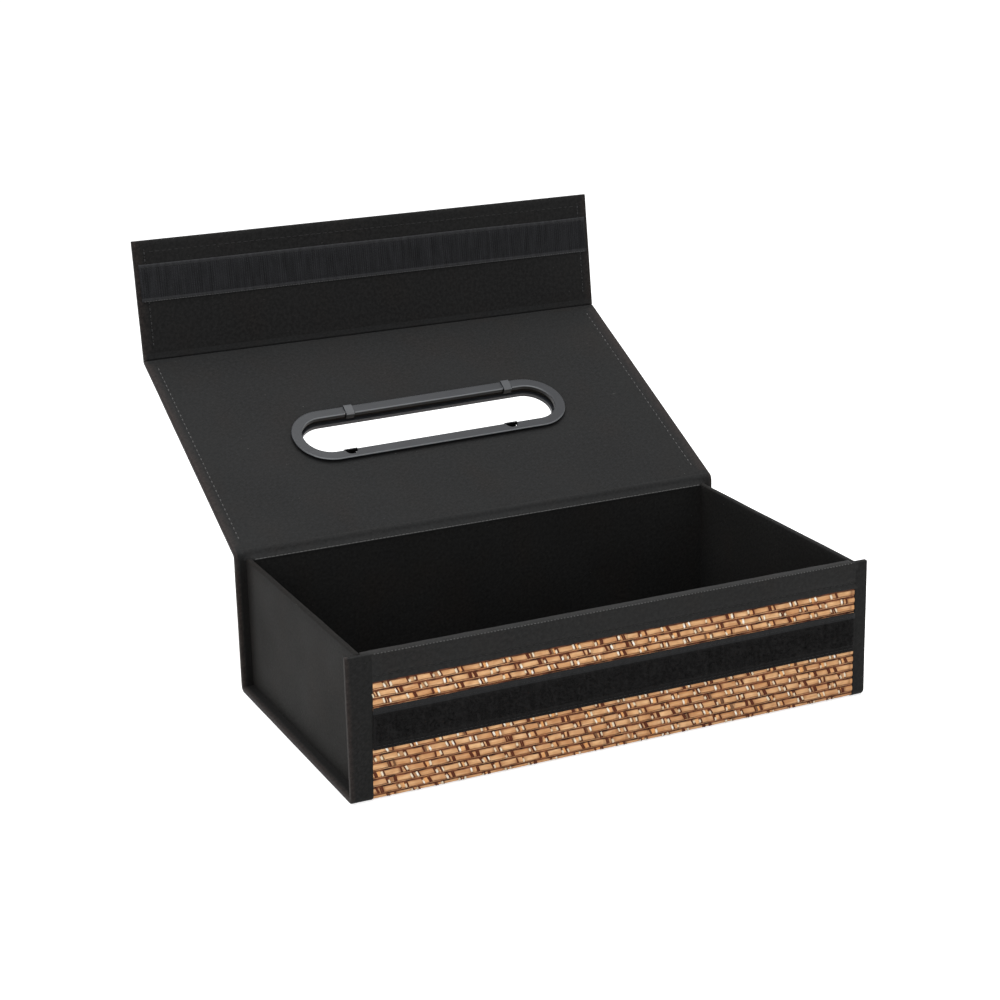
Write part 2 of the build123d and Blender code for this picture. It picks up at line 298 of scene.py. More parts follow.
class Shape:
    """Gathers the points and faces of one piece."""

    def __init__(self):
        self.points, self.cloth, self.tone, self.shade = [], [], [], []
        self.faces, self.slots = [], []
        self.size = 0

    def add(self, points, faces, slot, cloth, tone, shade=0.0):
        points = points.reshape(-1, 3)
        self.points.append(points)
        self.cloth.append(points if cloth is None else cloth.reshape(-1, 3))
        self.tone.append(np.broadcast_to(np.ravel(tone), len(points)))
        self.shade.append(np.broadcast_to(np.ravel(shade), len(points)))
        self.faces.append(faces.reshape(-1, 4) + self.size)
        self.slots.append(np.full(len(self.faces[-1]), slot))
        self.size += len(points)

    def grid(self, points, slot=0, cloth=None, tone=0.5, shade=0.0, keep=None, flip=False):
        """A sheet of quads over rows and columns of points, whose normal is column x row."""
        rows, columns = points.shape[:2]
        index = np.arange(rows * columns).reshape(rows, columns)
        quads = np.stack([index[:-1, :-1], index[:-1, 1:], index[1:, 1:], index[1:, :-1]], -1)
        if keep is not None:
            quads = quads[keep]
        if flip:
            quads = quads[..., ::-1]
        self.add(points, quads, slot, cloth, tone, shade)

    def tubes(self, paths, radius, up, sides=4, slot=0, flatten=1.0, tone=0.5):
        """Many open tubes along paths, an array (tubes, rings, 3). Up is the side of their crowns."""
        count, rings = paths.shape[:2]
        along = np.gradient(paths, axis=1)
        along /= np.linalg.norm(along, axis=-1, keepdims=True) + 1e-12
        side = np.cross(along, np.broadcast_to(up, paths.shape))
        side /= np.linalg.norm(side, axis=-1, keepdims=True) + 1e-12
        crown = np.cross(side, along)
        angle = 2 * math.pi * (np.arange(sides) + 0.5) / sides
        radius = np.broadcast_to(radius, (count, rings))[..., None, None]
        wide, high = np.cos(angle)[:, None], np.sin(angle)[:, None] * flatten
        ring = side[:, :, None] * wide + crown[:, :, None] * high
        points = paths[:, :, None] + ring * radius
        index = np.arange(count * rings * sides).reshape(count, rings, sides)
        after = np.roll(index, -1, axis=2)
        quads = np.stack([index[:, :-1], index[:, 1:], after[:, 1:], after[:, :-1]], -1)
        tone = np.asarray(tone, float)
        tone = tone[..., None] if tone.ndim == 2 else np.reshape(tone, (-1, 1, 1))
        tones = np.broadcast_to(tone, points.shape[:3])
        self.add(points, quads, slot, None, tones)

    def build(self, name, materials):
        points, faces = np.concatenate(self.points), np.concatenate(self.faces)
        used, faces = np.unique(faces, return_inverse=True)
        faces = faces.reshape(-1, 4)
        mesh = bpy.data.meshes.new(name)
        mesh.from_pydata(points[used], [], faces.tolist())
        for material in materials:
            mesh.materials.append(material)
        mesh.polygons.foreach_set("material_index", np.concatenate(self.slots).astype(np.int32))
        mesh.polygons.foreach_set("use_smooth", np.ones(len(faces), bool))
        cloth = mesh.attributes.new("cloth", "FLOAT_VECTOR", "POINT")
        cloth.data.foreach_set("vector", np.concatenate(self.cloth)[used].astype(np.float32).ravel())
        for label, values in (("tone", self.tone), ("shade", self.shade)):
            layer = mesh.attributes.new(label, "FLOAT", "POINT")
            layer.data.foreach_set("value", np.concatenate(values)[used].astype(np.float32))
        mesh.validate()
        mesh.update()
        return put(name, mesh)


def seam(
    shape, start, end, normal, slot, lift=STITCH_LIFT, pitch=STITCH_PITCH, length=None, radius=STITCH_RADIUS
):
    """A straight row of stitches from start to end, on the side that normal points to."""
    start, end, normal = (np.array(v, float) for v in (start, end, normal))
    run = np.linalg.norm(end - start)
    along = (end - start) / run
    count = int(run // pitch)
    t = np.array([-0.5, -0.42, -0.2, 0.2, 0.42, 0.5])
    height = (np.array([-0.22, -0.02, 0.06, 0.06, -0.02, -0.22]) * MM) + lift
    centre = start + along * ((np.arange(count) + 0.5) * run / count)[:, None]
    length = length or STITCH_LENGTH * pitch / STITCH_PITCH
    paths = centre[:, None] + along * (t * length)[:, None] + normal * height[:, None]
    shape.tubes(paths, radius, normal, sides=6, slot=slot)


def pulled_seam(shape, start, end, normal):
    """A seam whose stitches sink deep at each needle hole: a light knot, then a dark pit."""
    start, end = np.array(start, float), np.array(end, float)
    run = np.linalg.norm(end - start)
    half_step = (end - start) / run * STITCH_PITCH / 2
    seam(shape, start, end, normal, slot=2, lift=-0.10 * MM, length=KNOT_LENGTH, radius=KNOT_RADIUS)
    pits = start + half_step, end + half_step
    seam(shape, *pits, normal, slot=1, lift=-0.20 * MM, length=PIT_LENGTH, radius=PIT_RADIUS)


# ---- The slot in the lid ----

ring_points = np.array([v.co for v in frame["nodes"]["slot_ring"].data.vertices])
SLOT_MIDDLE = np.array([np.mean([ring_points[:, 0].min(), ring_points[:, 0].max()]), 0.0])
SLOT_MIDDLE[1] = np.mean(lid.span("slot_ring"))
CUT_RADIUS = SLOT_WIDTH / 2 + CUT_PLAY
CUT_STRAIGHT = (SLOT_LENGTH - SLOT_WIDTH) / 2
SLOT_X = np.array([math.cos(SLOT_TURN), math.sin(SLOT_TURN)])
SLOT_Y = np.array([-SLOT_X[1], SLOT_X[0]])


def from_cut(x, s, grown=0.0):
    """Distance outwards from the edge of the cut in the lid, and the nearest point of that edge.
    Grown is by how much the cut is larger than the one in the cloth."""
    spot = np.stack([x, s], -1) - SLOT_MIDDLE
    along, across = spot @ SLOT_X, spot @ SLOT_Y
    core = np.clip(along, -CUT_STRAIGHT, CUT_STRAIGHT)
    away = np.stack([along - core, across], -1)
    reach = np.linalg.norm(away, axis=-1)
    radius = CUT_RADIUS + grown
    edge = away / np.maximum(reach, 1e-9)[..., None] * radius
    edge[..., 0] += core
    nearest = edge[..., :1] * SLOT_X + edge[..., 1:] * SLOT_Y + SLOT_MIDDLE
    return reach - radius, nearest


def with_cut(x, s, grown=0.0):
    """The same points with those inside the cut moved to its edge, and which quads stay."""
    distance, nearest = from_cut(x, s, grown)
    inside = distance < 0
    x, s = np.where(inside, nearest[..., 0], x), np.where(inside, nearest[..., 1], s)
    gone = inside[:-1, :-1] & inside[:-1, 1:] & inside[1:, 1:] & inside[1:, :-1]
    return x, s, ~gone


# ---- Black cloth over the wrap ----


def rounded_edge(side):
    """(x, depth) round one side edge of the wrap, from its outer face to its inner face."""
    angles = np.linspace(0, math.pi / 2, 5)
    outer = [(EDGE_ROUND * (1 - math.sin(a)), EDGE_ROUND * (1 - math.cos(a))) for a in angles]
    inner = [(EDGE_ROUND * (1 - math.cos(a)), PANEL - EDGE_ROUND * (1 - math.sin(a))) for a in angles]
    return [(side * (HALF - inset), depth) for inset, depth in outer + inner]


def wrap_section(seams, spacing):
    """Points of the cloth's section, from the left hem's tucked edge over the inner face to the right hem.
    Each has x, depth, the share of the left hem's taper, the side edge's sign, and its groove."""
    hem = [(0.0, 0.62 * MM), (0.0, 0.08 * MM), (0.2 * MM, -HEM_RISE), (0.9 * MM, -HEM_RISE), (3.0 * MM, 0.0)]
    left = [(WEAVE_LEFT - run, depth, 1, 0, 0) for run, depth in hem]
    left += [(-HALF + RUBBED_AND_LIT_HEM, 0.0, 0, 0, 0)]
    left += [(x, depth, 0, -1, 0) for x, depth in rounded_edge(-1)]
    right = [(x, depth, 0, 1, 0) for x, depth in rounded_edge(1)[::-1]]
    right += [(WEAVE_RIGHT + run, depth, 0, 0, 0) for run, depth in hem[::-1]]
    low, high = -HALF + 2 * EDGE_ROUND, HALF - 2 * EDGE_ROUND
    inner = []
    groove = [(-1.0, 0), (-0.45, 0), (0.0, 1), (0.45, 0), (1.0, 0)]
    if seams:
        low, high = -HALF + seams[0], HALF - seams[1]
        inner += [(low + run * MM, PANEL, 0, 0, dip) for run, dip in groove]
        low, high = low + 2 * MM, high - 2 * MM
    between = spread(low + 4 * MM, high - 4 * MM, spacing)
    inner += [(x, PANEL, 0, 0, 0) for x in (low, low + 0.8 * MM, *between, high - 0.8 * MM, high)]
    if seams:
        inner += [(high + 2 * MM + run * MM, PANEL, 0, 0, dip) for run, dip in groove]
    return np.array(left + inner + right, float).T


def closed_end(s):
    """Stations up to the last, where the section rounds over into a flat end, and how far each is closed."""
    angles = np.linspace(0, math.pi / 2, 5)[1:]
    flat = np.linspace(EDGE_ROUND, 0.97 * PANEL / 2, 3)[1:]
    body = s[s < s[-1] - 2 * EDGE_ROUND]
    s = np.concatenate([body, s[-1] - EDGE_ROUND * (1 - np.sin(angles)), np.full(len(flat), s[-1])])
    shrink = np.concatenate([np.zeros(len(body)), EDGE_ROUND * (1 - np.cos(angles)), flat])
    return s, shrink


def hem_slant(s):
    """How far the edge of the tray's left hem stands to the right of its middle, s down the front."""
    return HEM_TAPER * (0.5 - soft_step(s, 0, TOP))


def closed(s, close):
    """Stations rounded off at their start or end, as close says, and how far each is closed."""
    if close == "end":
        return closed_end(s)
    if close == "start":
        mirrored, shrink = closed_end(-s[::-1])
        return -mirrored[::-1], shrink[::-1]
    return s, np.zeros(len(s))


def edge_wear_and_light(x, depth, edge):
    """How far the cloth is made lighter at the wrap's side edges, and at the left one onto its outer face
    too: rubbed cloth, with a painted highlight where the edges catch the light.
    """
    rubbed = np.where(depth > 0.2 * MM, 1.0, 1 - soft_step(HALF + x, 0, RUBBED_AND_LIT_HEM))
    return 0.9 * np.abs(edge) * rubbed


def cloth_shell(path, s, seed, seams=None, close=None, cut=False, spacing=CLOTH_SAMPLE, walled=None):
    """The cloth of a run of the wrap: over its inner face and round its side edges as hems.
    Close is "start" or "end" where that end is rounded off. Walled is the span along the run where the side
    walls end, over which the painted shade beside them and the painted light at the side edges fade out.
    A panel with seams is also a little uneven."""
    s, shrink = closed(s, close)
    section_x, section_depth, hem, edge, groove = wrap_section(seams, spacing)
    wander = ripples(seed + 50, 3)(0.3 * s, 2.0 * s)
    x = section_x + hem * (hem_slant(s)[:, None] if path is tray else 0)
    x = x + edge * (0.05 * MM * (1 + wander) - shrink * CORNER_ROUND / (PANEL / 2))[:, None]
    depth = np.broadcast_to(section_depth, x.shape)
    closing = shrink[:, None]
    depth = np.where(closing > 0, np.clip(depth, closing, PANEL - closing), depth)
    sheet_s = np.broadcast_to(s[:, None], x.shape)
    inner = section_depth > PANEL - 1e-6
    keep = None
    if cut:
        cut_x, cut_s, keep = with_cut(x, sheet_s)
        x, sheet_s = np.where(inner, cut_x, x), np.where(inner, cut_s, sheet_s)
        keep = keep | ~(inner[:-1] & inner[1:])
    calm = amid(s, s[0], s[-1], 12 * MM)
    if seams:
        swell = inner * soft_step(HALF - np.abs(x), 3 * MM, 14 * MM)
        if cut:
            swell = swell * soft_step(from_cut(x, sheet_s)[0], 6 * MM, 16 * MM)
        depth = depth + UNEVEN * ripples(seed)(x, sheet_s) * calm[:, None] * swell
    depth = depth - GROOVE * groove * calm[:, None]
    across = running_length(joined(section_x, section_depth))
    wear_light_and_shade = np.broadcast_to(edge_wear_and_light(section_x, section_depth, edge), x.shape)
    # Beside the side walls the inner face is darkened, a painted shade in the corner by the wall, and
    # lightened next to the side edge, a painted light.
    if walled is not None:
        beside = inner & (edge == 0) & (np.abs(section_x) > WALL_OUTSIDE - 0.5 * MM)
        fold = np.where(np.abs(section_x) > HALF - 2 * MM, 0.35, -1.0)
        wear_light_and_shade = wear_light_and_shade + beside * fold * (1 - soft_step(s, *walled))[:, None]
    shape = Shape()
    shape.grid(place(path, x, sheet_s, depth), cloth=joined(across, sheet_s, 0.0), shade=wear_light_and_shade, keep=keep)
    return shape


def outside_hem(shape, path, start, end):
    """A straight hem of cloth across the outer face, tucked down at start and rounded over at end."""
    x = spread(WEAVE_LEFT - 2 * MM, WEAVE_RIGHT + 2 * MM, 5 * MM)
    s = np.concatenate([start + np.array([0, 0, 0.25, 1.0, 3.0]) * MM, spread(start + 4 * MM, end, 2 * MM)])
    s, depth = closed_end(s)
    depth[:4] = np.array([0.66, 0.1, -0.04, -0.04]) * MM
    points = place(path, x[None], s[:, None], depth[:, None])
    shape.grid(points, cloth=joined(x, s[:, None], 0.0), flip=True)


# ---- Woven slats ----


def bound_places(parity, low, high):
    """X of the bound places of a slat between low and high."""
    start = BIND_START + parity * BIND_PERIOD / 2
    first, last = math.ceil((low - start) / BIND_PERIOD), math.floor((high - start) / BIND_PERIOD)
    return start + np.arange(first, last + 1) * BIND_PERIOD


def slat_depth(share, pinch):
    """Depth of a slat's face at a share of half the pitch from its middle."""
    rise = np.clip(np.abs(share) / (SLAT_HALF / (SLAT_PITCH / 2)), 0, 1)
    return SLAT_CROWN + (SLAT_VALLEY - SLAT_CROWN) * rise**3.2 + pinch * (1 - rise)


def weave(path, start, end, seed, fine=False, cut=False, hidden=None):
    """Slats across the wrap from start to end, with their pairs of binding threads."""
    rng = np.random.default_rng(seed)
    count = max(1, round((end - start) / SLAT_PITCH))
    pitch = (end - start) / count
    low, high = WEAVE_LEFT - UNDER_HEM, WEAVE_RIGHT + UNDER_HEM
    # Columns stand closest at the threads, and serve both kinds of slat
    near = (-2.9, -2.2, -1.5, -0.8, 0, 0.8, 1.5, 2.2, 2.9) if fine else (-2.2, -0.8, 0.8, 2.2)
    marks = np.sort(np.concatenate([bound_places(parity, low, high) for parity in (0, 1)]))
    x = np.unique(np.concatenate([(marks[:, None] + np.array(near) * MM).ravel(), [low, high]]))
    x = x[(x >= low) & (x <= high)]
    across = np.array(SLAT_ACROSS if fine else SLAT_ACROSS_PLAIN)
    shape = Shape()
    rows = []
    inset = amid(x, low, high, 8 * MM)
    strokes = []
    for slat in range(count):
        middle = start + (slat + 0.5) * pitch
        centres = bound_places(slat % 2, low, high)
        jitter = rng.normal(0, 0.22 * MM, len(centres)) + rng.normal(0, 0.25 * MM)
        drift = np.interp(x, centres, jitter) * inset
        tones = rng.uniform(0, 1, len(centres) + 1)
        brick = np.searchsorted(centres, x)
        gap = np.abs(x[:, None] - centres).min(axis=1)
        pinch = (0.12 * MM + rng.uniform(-0.03, 0.06, len(x)) * MM) * np.exp(-((gap / (1.9 * MM)) ** 2))
        height = rng.uniform(-0.03, 0.05) * MM
        waver = 0.09 * MM * np.sin(x * 2 * math.pi / (BIND_PERIOD * 1.7) + rng.uniform(0, 6.28))
        width = rng.uniform(0.93, 1.05)
        width = width * (1 + 0.04 * np.sin(x * 2 * math.pi / (7.3 * MM) + rng.uniform(0, 6.28)))
        ends = np.abs(gap - BIND_HALF)
        burnt = rng.uniform(0.35, 1.0, len(centres) + 1)[brick] * np.exp(-((ends / (0.95 * MM)) ** 2))
        burnt = np.where(gap < 0.9 * MM, -rng.uniform(-0.7, 1.0, len(centres) + 1)[brick], burnt)
        for share in across:
            inside = abs(share) < 0.99
            s = middle + share * pitch / 2 * (width if inside else 1) + (waver if inside else 0)
            depth = slat_depth(share, pinch) + height * (1 - abs(share))
            rows.append((x + drift, s + np.zeros(len(x)), depth, np.full(len(x), share), tones[brick], burnt))
        for sign in (-1, 1):
            spots = centres + jitter + sign * BIND_HALF * rng.uniform(0.8, 1.1, len(centres))
            spots = spots[(centres > low + 3 * MM) & (centres < high - 3 * MM)]
            strokes.append(joined(spots, middle, sign))
    rows.append((x, *(np.full(len(x), value) for value in (end, SLAT_VALLEY, -1.0, 0.5, 0.0))))
    x, s, depth, share, tone, burnt = (np.array(values) for values in zip(*rows))
    x[:, 0], x[:, -1] = low, high
    keep = None
    if cut:
        x, s, keep = with_cut(x, s, SLATS_BACK)
    if hidden:
        covered = (s > hidden[0]) & (s < hidden[1])
        keep = ~(covered[:-1, :-1] & covered[1:, 1:])
    points = place(path, x, s, depth)
    shape.grid(points, cloth=joined(x, s, share), tone=tone, shade=burnt, keep=keep, flip=True)
    strokes = np.concatenate(strokes)
    if hidden:
        strokes = strokes[(strokes[:, 1] < hidden[0]) | (strokes[:, 1] > hidden[1])]
    if cut:
        strokes = strokes[from_cut(strokes[:, 0], strokes[:, 1], SLATS_BACK)[0] > 1.5 * MM]
    bind_threads(shape, path, strokes, rng, fine)
    return shape


def bind_threads(shape, path, strokes, rng, fine):
    """The short leaning threads that go over the slats: cream ones, most with a brown one beside them."""
    count = len(strokes)
    run = np.linspace(-0.90, 0.90, 7 if fine else 4) * SLAT_HALF
    lean = BIND_LEAN + rng.normal(0, 0.10, count)
    light = rng.uniform(0, 1, count) < np.where(strokes[:, 2] < 0, 0.80, 0.62)
    pale = np.where(light, rng.uniform(0.55, 1.0, count), rng.uniform(0.0, 0.28, count))
    stray = rng.uniform(-0.105, 0.105, count) * MM
    # Light threads darken towards their ends: painted shade where they dip into the gaps.
    shaded_ends = 0.75 * np.abs(run / SLAT_HALF - rng.uniform(-0.45, 0.45, (count, 1))) ** 2.0
    tone = pale[:, None] - light[:, None] * shaded_ends
    add_threads(shape, path, strokes, lean, run, np.zeros(count), tone, rng, 1.0, fine)
    paired = rng.uniform(0, 1, count) < 0.72
    side = np.where(rng.uniform(0, 1, count) < 0.7, 1, -1) * 0.85 * MM
    tone = rng.uniform(0.0, 0.30, count)[:, None] + 0 * run
    strokes, lean, aside, tone = (values[paired] for values in (strokes, lean, side + stray, tone))
    add_threads(shape, path, strokes, lean, run, aside, tone, rng, 0.85, fine)


def add_threads(shape, path, strokes, lean, run, aside, tone, rng, width, fine):
    """Threads across the slats, each leaning over a run and standing aside from the middle of its stroke."""
    x = strokes[:, :1] + aside[:, None] + lean[:, None] * run
    s = strokes[:, 1:2] + run
    depth = np.broadcast_to(slat_depth(run / (SLAT_PITCH / 2), 0.10 * MM), x.shape) - 0.03 * MM * width
    paths = place(path, x, s, depth)
    inward = path.side(s)[1]
    up = joined(0.0, -inward[..., 0], -inward[..., 1])
    width = width * BIND_WIDTH * (1.0 if fine else 0.72)
    radius = width * rng.uniform(0.78, 1.15, (len(strokes), 1)) * np.ones(len(run))
    shape.tubes(paths, radius, up, sides=6 if fine else 4, slot=1, flatten=0.45, tone=tone)


# ---- Materials ----


class Nodes:
    """A node tree and short ways to add to it."""

    def __init__(self, owner):
        owner.use_nodes = True
        self.tree = owner.node_tree

    def node(self, kind, inputs=(), **settings):
        node = self.tree.nodes.new(kind)
        for key, value in settings.items():
            setattr(node, key, value)
        for key, value in dict(inputs).items():
            self.plug(node.inputs[key], value)
        return node

    def plug(self, socket, value):
        if isinstance(value, bpy.types.NodeSocket):
            self.tree.links.new(value, socket)
        else:
            socket.default_value = value

    def math(self, operation, a, b=0.0):
        return self.node("ShaderNodeMath", {0: a, 1: b}, operation=operation).outputs[0]

    def steps(self, value, low, high, to_low=0.0, to_high=1.0):
        settings = {"Value": value, 1: low, 2: high, 3: to_low, 4: to_high}
        return self.node("ShaderNodeMapRange", settings).outputs[0]

    def background_share(self):
        """1 for rays that see the background as itself: from the camera, gloss and glass."""
        rays = self.node("ShaderNodeLightPath").outputs
        total = rays["Is Camera Ray"]
        for ray in ("Is Glossy Ray", "Is Transmission Ray"):
            both = {0: total, 1: rays[ray]}
            total = self.node("ShaderNodeMath", both, operation="ADD", use_clamp=True).outputs[0]
        return total


class Finish(Nodes):
    """A material put together from nodes around one Principled shader."""

    def __init__(self, name, **sockets):
        self.material = bpy.data.materials.new(name)
        super().__init__(self.material)
        self.shader = self.tree.nodes["Principled BSDF"]
        self.done(**sockets)

    def place(self, scale, turn=0.0):
        """Texture coordinates: metres on the flat cloth, scaled and turned."""
        source = self.attribute("cloth").outputs["Vector"]
        settings = {"Vector": source, "Scale": scale, "Rotation": (0, 0, turn)}
        return self.node("ShaderNodeMapping", settings).outputs["Vector"]

    def solid_place(self, scale):
        source = self.node("ShaderNodeTexCoord").outputs["Object"]
        return self.node("ShaderNodeMapping", {"Vector": source, "Scale": scale}).outputs["Vector"]

    def attribute(self, name):
        return self.node("ShaderNodeAttribute", attribute_name=name)

    def tone(self):
        return self.attribute("tone").outputs["Fac"]

    def shade(self):
        return self.attribute("shade").outputs["Fac"]

    def noise(self, scale, detail=3.0, distortion=0.0, turn=0.0, solid=False):
        """Noise on the flat cloth, or through the solid. Its scale is one number, or one for each axis."""
        scale = scale if isinstance(scale, tuple) else (scale, scale, scale)
        where = self.solid_place(scale) if solid else self.place(scale, turn)
        settings = {"Vector": where, "Scale": 1.0, "Detail": detail, "Distortion": distortion}
        return self.node("ShaderNodeTexNoise", settings).outputs["Fac"]

    def wave(self, where, distortion=0.0):
        """Bands across X, one every 1/pi of its unit."""
        settings = {"Vector": where, "Scale": 1.0, "Distortion": distortion}
        settings |= {"Detail": 2.0, "Detail Scale": 2.0}
        return self.node("ShaderNodeTexWave", settings, wave_type="BANDS").outputs["Fac"]

    def total(self, *parts):
        """The sum of values, each times its weight."""
        weighed = [self.math("MULTIPLY", value, weight) for value, weight in parts]
        total = weighed[0]
        for value in weighed[1:]:
            total = self.math("ADD", total, value)
        return total

    def dot(self, a, b):
        return self.node("ShaderNodeVectorMath", {0: a, 1: b}, operation="DOT_PRODUCT").outputs["Value"]

    def mix(self, share, a, b, blend="MIX"):
        node = self.node("ShaderNodeMix", data_type="RGBA", blend_type=blend)
        for key, value in ((0, share), (6, a), (7, b)):
            self.plug(node.inputs[key], value)
        return node.outputs[2]

    def stain(self, colour, value, low, high, tint, most=1.0, blend="MIX"):
        """The colour, with more of a tint as a value goes from low to high."""
        return self.mix(self.steps(value, low, high, 0.0, most), colour, tint, blend)

    def bump(self, height, distance, strength=1.0):
        settings = {"Height": height, "Distance": distance, "Strength": strength}
        return self.node("ShaderNodeBump", settings).outputs["Normal"]

    def done(self, **sockets):
        for socket, value in sockets.items():
            self.plug(self.shader.inputs[socket.replace("_", " ")], value)
        return self.material


def rgb(red, green, blue):
    return (red, green, blue, 1.0)


def cloth_finish(name, dark, light, specular, sheen, lint, mottle):
    """Black woven cloth: a fine and a coarse twill, slubs, dull brownish patches and a little lint."""
    finish = Finish(name, Specular_IOR_Level=specular, Sheen_Weight=sheen, Sheen_Roughness=0.45)
    bands = math.pi * 0.1 / TWILL_PITCH
    twill = finish.wave(finish.place((bands, bands, bands), math.radians(58)), 1.2)
    coarse = finish.wave(finish.place((bands * 0.42, bands * 0.42, bands), math.radians(56)), 7.0)
    cross = finish.wave(finish.place((bands * 0.8, bands * 0.8, bands), math.radians(-32)), 1.2)
    threads = finish.noise(1400, 2.0)
    slubs = finish.noise(620, 2.0)
    patches = finish.noise(22, 4.0)
    height = finish.total((twill, 0.45), (cross, 0.25), (threads, 0.7), (coarse, 0.22), (slubs, 1.35))
    share = finish.math("MULTIPLY", finish.steps(height, 0.8, 2.0), finish.steps(patches, 0.3, 0.7, 0.7, 1.0))
    colour = finish.mix(share, dark, light)
    browned = finish.noise((34, 26, 30), 2.0, turn=0.4)
    colour = finish.stain(colour, browned, 0.48, 0.72, rgb(1.10, 0.99, 0.93), blend="MULTIPLY")
    rubbed = finish.noise((560, 520, 560), turn=0.3)
    colour = finish.stain(colour, rubbed, 0.42, 0.60, rgb(0.42, 0.42, 0.43), mottle, "MULTIPLY")
    fluff = finish.noise((260, 900, 300), 3.0, 1.5, turn=0.5)
    colour = finish.stain(colour, fluff, 0.75, 0.79, rgb(0.16, 0.16, 0.15), lint)
    # Lighter and browner where the shade attribute is positive, rubbed cloth with a painted highlight. Darker
    # where it is negative, a painted shade beside the side walls.
    wear_light_and_shade = finish.shade()
    colour = finish.stain(colour, wear_light_and_shade, 0.0, 1.0, rgb(2.6, 2.05, 1.9), blend="MULTIPLY")
    colour = finish.stain(colour, wear_light_and_shade, 0.0, -1.0, rgb(0.35, 0.32, 0.30), blend="MULTIPLY")
    roughness = finish.steps(patches, 0.25, 0.75, 0.66, 0.80)
    return finish.done(Base_Color=colour, Roughness=roughness, Normal=finish.bump(height, WEAVE_RELIEF, 0.8))


def slat_finish():
    """Split-bamboo slats: honey to tan by the slat, grained lengthwise, browner towards their edges as
    painted shade, and dark where they meet: a dark backing with painted shade in the gaps.
    """
    finish = Finish("woven_slats", Specular_IOR_Level=0.12)
    across = finish.attribute("cloth").outputs["Vector"]
    share = finish.math("ABSOLUTE", finish.node("ShaderNodeSeparateXYZ", {0: across}).outputs["Z"])
    burnt = finish.shade()
    grain = finish.noise((70, 1500, 0))
    streaks = finish.noise((18, 900, 0), 2.0)
    blotches = finish.noise((160, 260, 0))
    gaps = finish.noise((210, 90, 0), 2.0)
    colour = finish.mix(finish.tone(), rgb(0.61, 0.315, 0.140), rgb(0.82, 0.505, 0.255))
    colour = finish.stain(colour, streaks, 0.35, 0.70, rgb(0.50, 0.23, 0.085), 0.45)
    colour = finish.stain(colour, grain, 0.45, 0.75, rgb(0.88, 0.63, 0.39), 0.5)
    colour = finish.stain(colour, blotches, 0.38, 0.66, rgb(0.40, 0.17, 0.065), 0.6)
    # Browner towards the slat's edges: painted shade where the slat curves down.
    colour = finish.stain(colour, share, 0.36, 0.68, rgb(0.30, 0.12, 0.040), 0.45)
    colour = finish.stain(colour, burnt, 0.0, 1.0, rgb(0.12, 0.036, 0.015), 0.75)
    colour = finish.stain(colour, burnt, 0.0, -1.0, rgb(0.80, 0.37, 0.12), 0.8)
    # In the gaps: the dark backing, darkened further as painted shade.
    backing_and_gap_shade = finish.mix(finish.steps(gaps, 0.40, 0.62), rgb(0.030, 0.009, 0.006), rgb(0.17, 0.055, 0.026))
    colour = finish.stain(colour, share, 0.60, 0.71, backing_and_gap_shade)
    roughness = finish.steps(grain, 0.3, 0.7, 0.44, 0.62)
    return finish.done(Base_Color=colour, Roughness=roughness, Normal=finish.bump(grain, 0.05 * MM, 0.4))


def thread_finish():
    """Binding thread: dark brown, tan, cream or nearly white by its tone."""
    finish = Finish("binding_thread", Roughness=0.7, Specular_IOR_Level=0.12)
    fibres = finish.noise(2200, 2.0, solid=True)
    tone = finish.tone()
    tan = finish.mix(fibres, rgb(0.30, 0.17, 0.08), rgb(0.52, 0.36, 0.20))
    cream = finish.mix(fibres, rgb(0.62, 0.48, 0.31), rgb(0.90, 0.82, 0.65))
    colour = finish.mix(fibres, rgb(0.040, 0.010, 0.005), rgb(0.15, 0.042, 0.020))
    for low, high, paler in ((0.24, 0.36, tan), (0.40, 0.56, cream), (0.78, 0.94, rgb(0.92, 0.90, 0.84))):
        colour = finish.stain(colour, tone, low, high, paler)
    return finish.done(Base_Color=colour, Normal=finish.bump(fibres, 0.08 * MM, 0.6))


def sewing_finish(name, dark, light):
    """Twisted sewing thread with a slight shine."""
    finish = Finish(name, Roughness=0.5, Specular_IOR_Level=0.25, Sheen_Weight=0.03)
    twist = finish.noise(4000, 1.0, solid=True)
    return finish.done(Base_Color=finish.mix(twist, dark, light), Normal=finish.bump(twist, 0.05 * MM, 0.6))


def tape_finish(name, dark, light, specular, sheen, rib=0.7 * MM):
    """Woven nylon tape with a fine cross rib and uneven streaks across it."""
    finish = Finish(name, Roughness=0.6, Specular_IOR_Level=specular, Sheen_Weight=sheen, Sheen_Roughness=0.4)
    ribs = finish.wave(finish.place((math.pi * 0.1 / rib, 1, 1)), 0.6)
    streaks = finish.noise((420, 60, 60), 2.0)
    fibres = finish.noise((1300, 1700, 1500))
    height = finish.total((ribs, 0.4), (fibres, 1.0))
    share = finish.total((finish.steps(height, 0.4, 1.1), 0.6), (finish.steps(streaks, 0.35, 0.65), 0.4))
    return finish.done(Base_Color=finish.mix(share, dark, light), Normal=finish.bump(height, 0.07 * MM, 0.8))


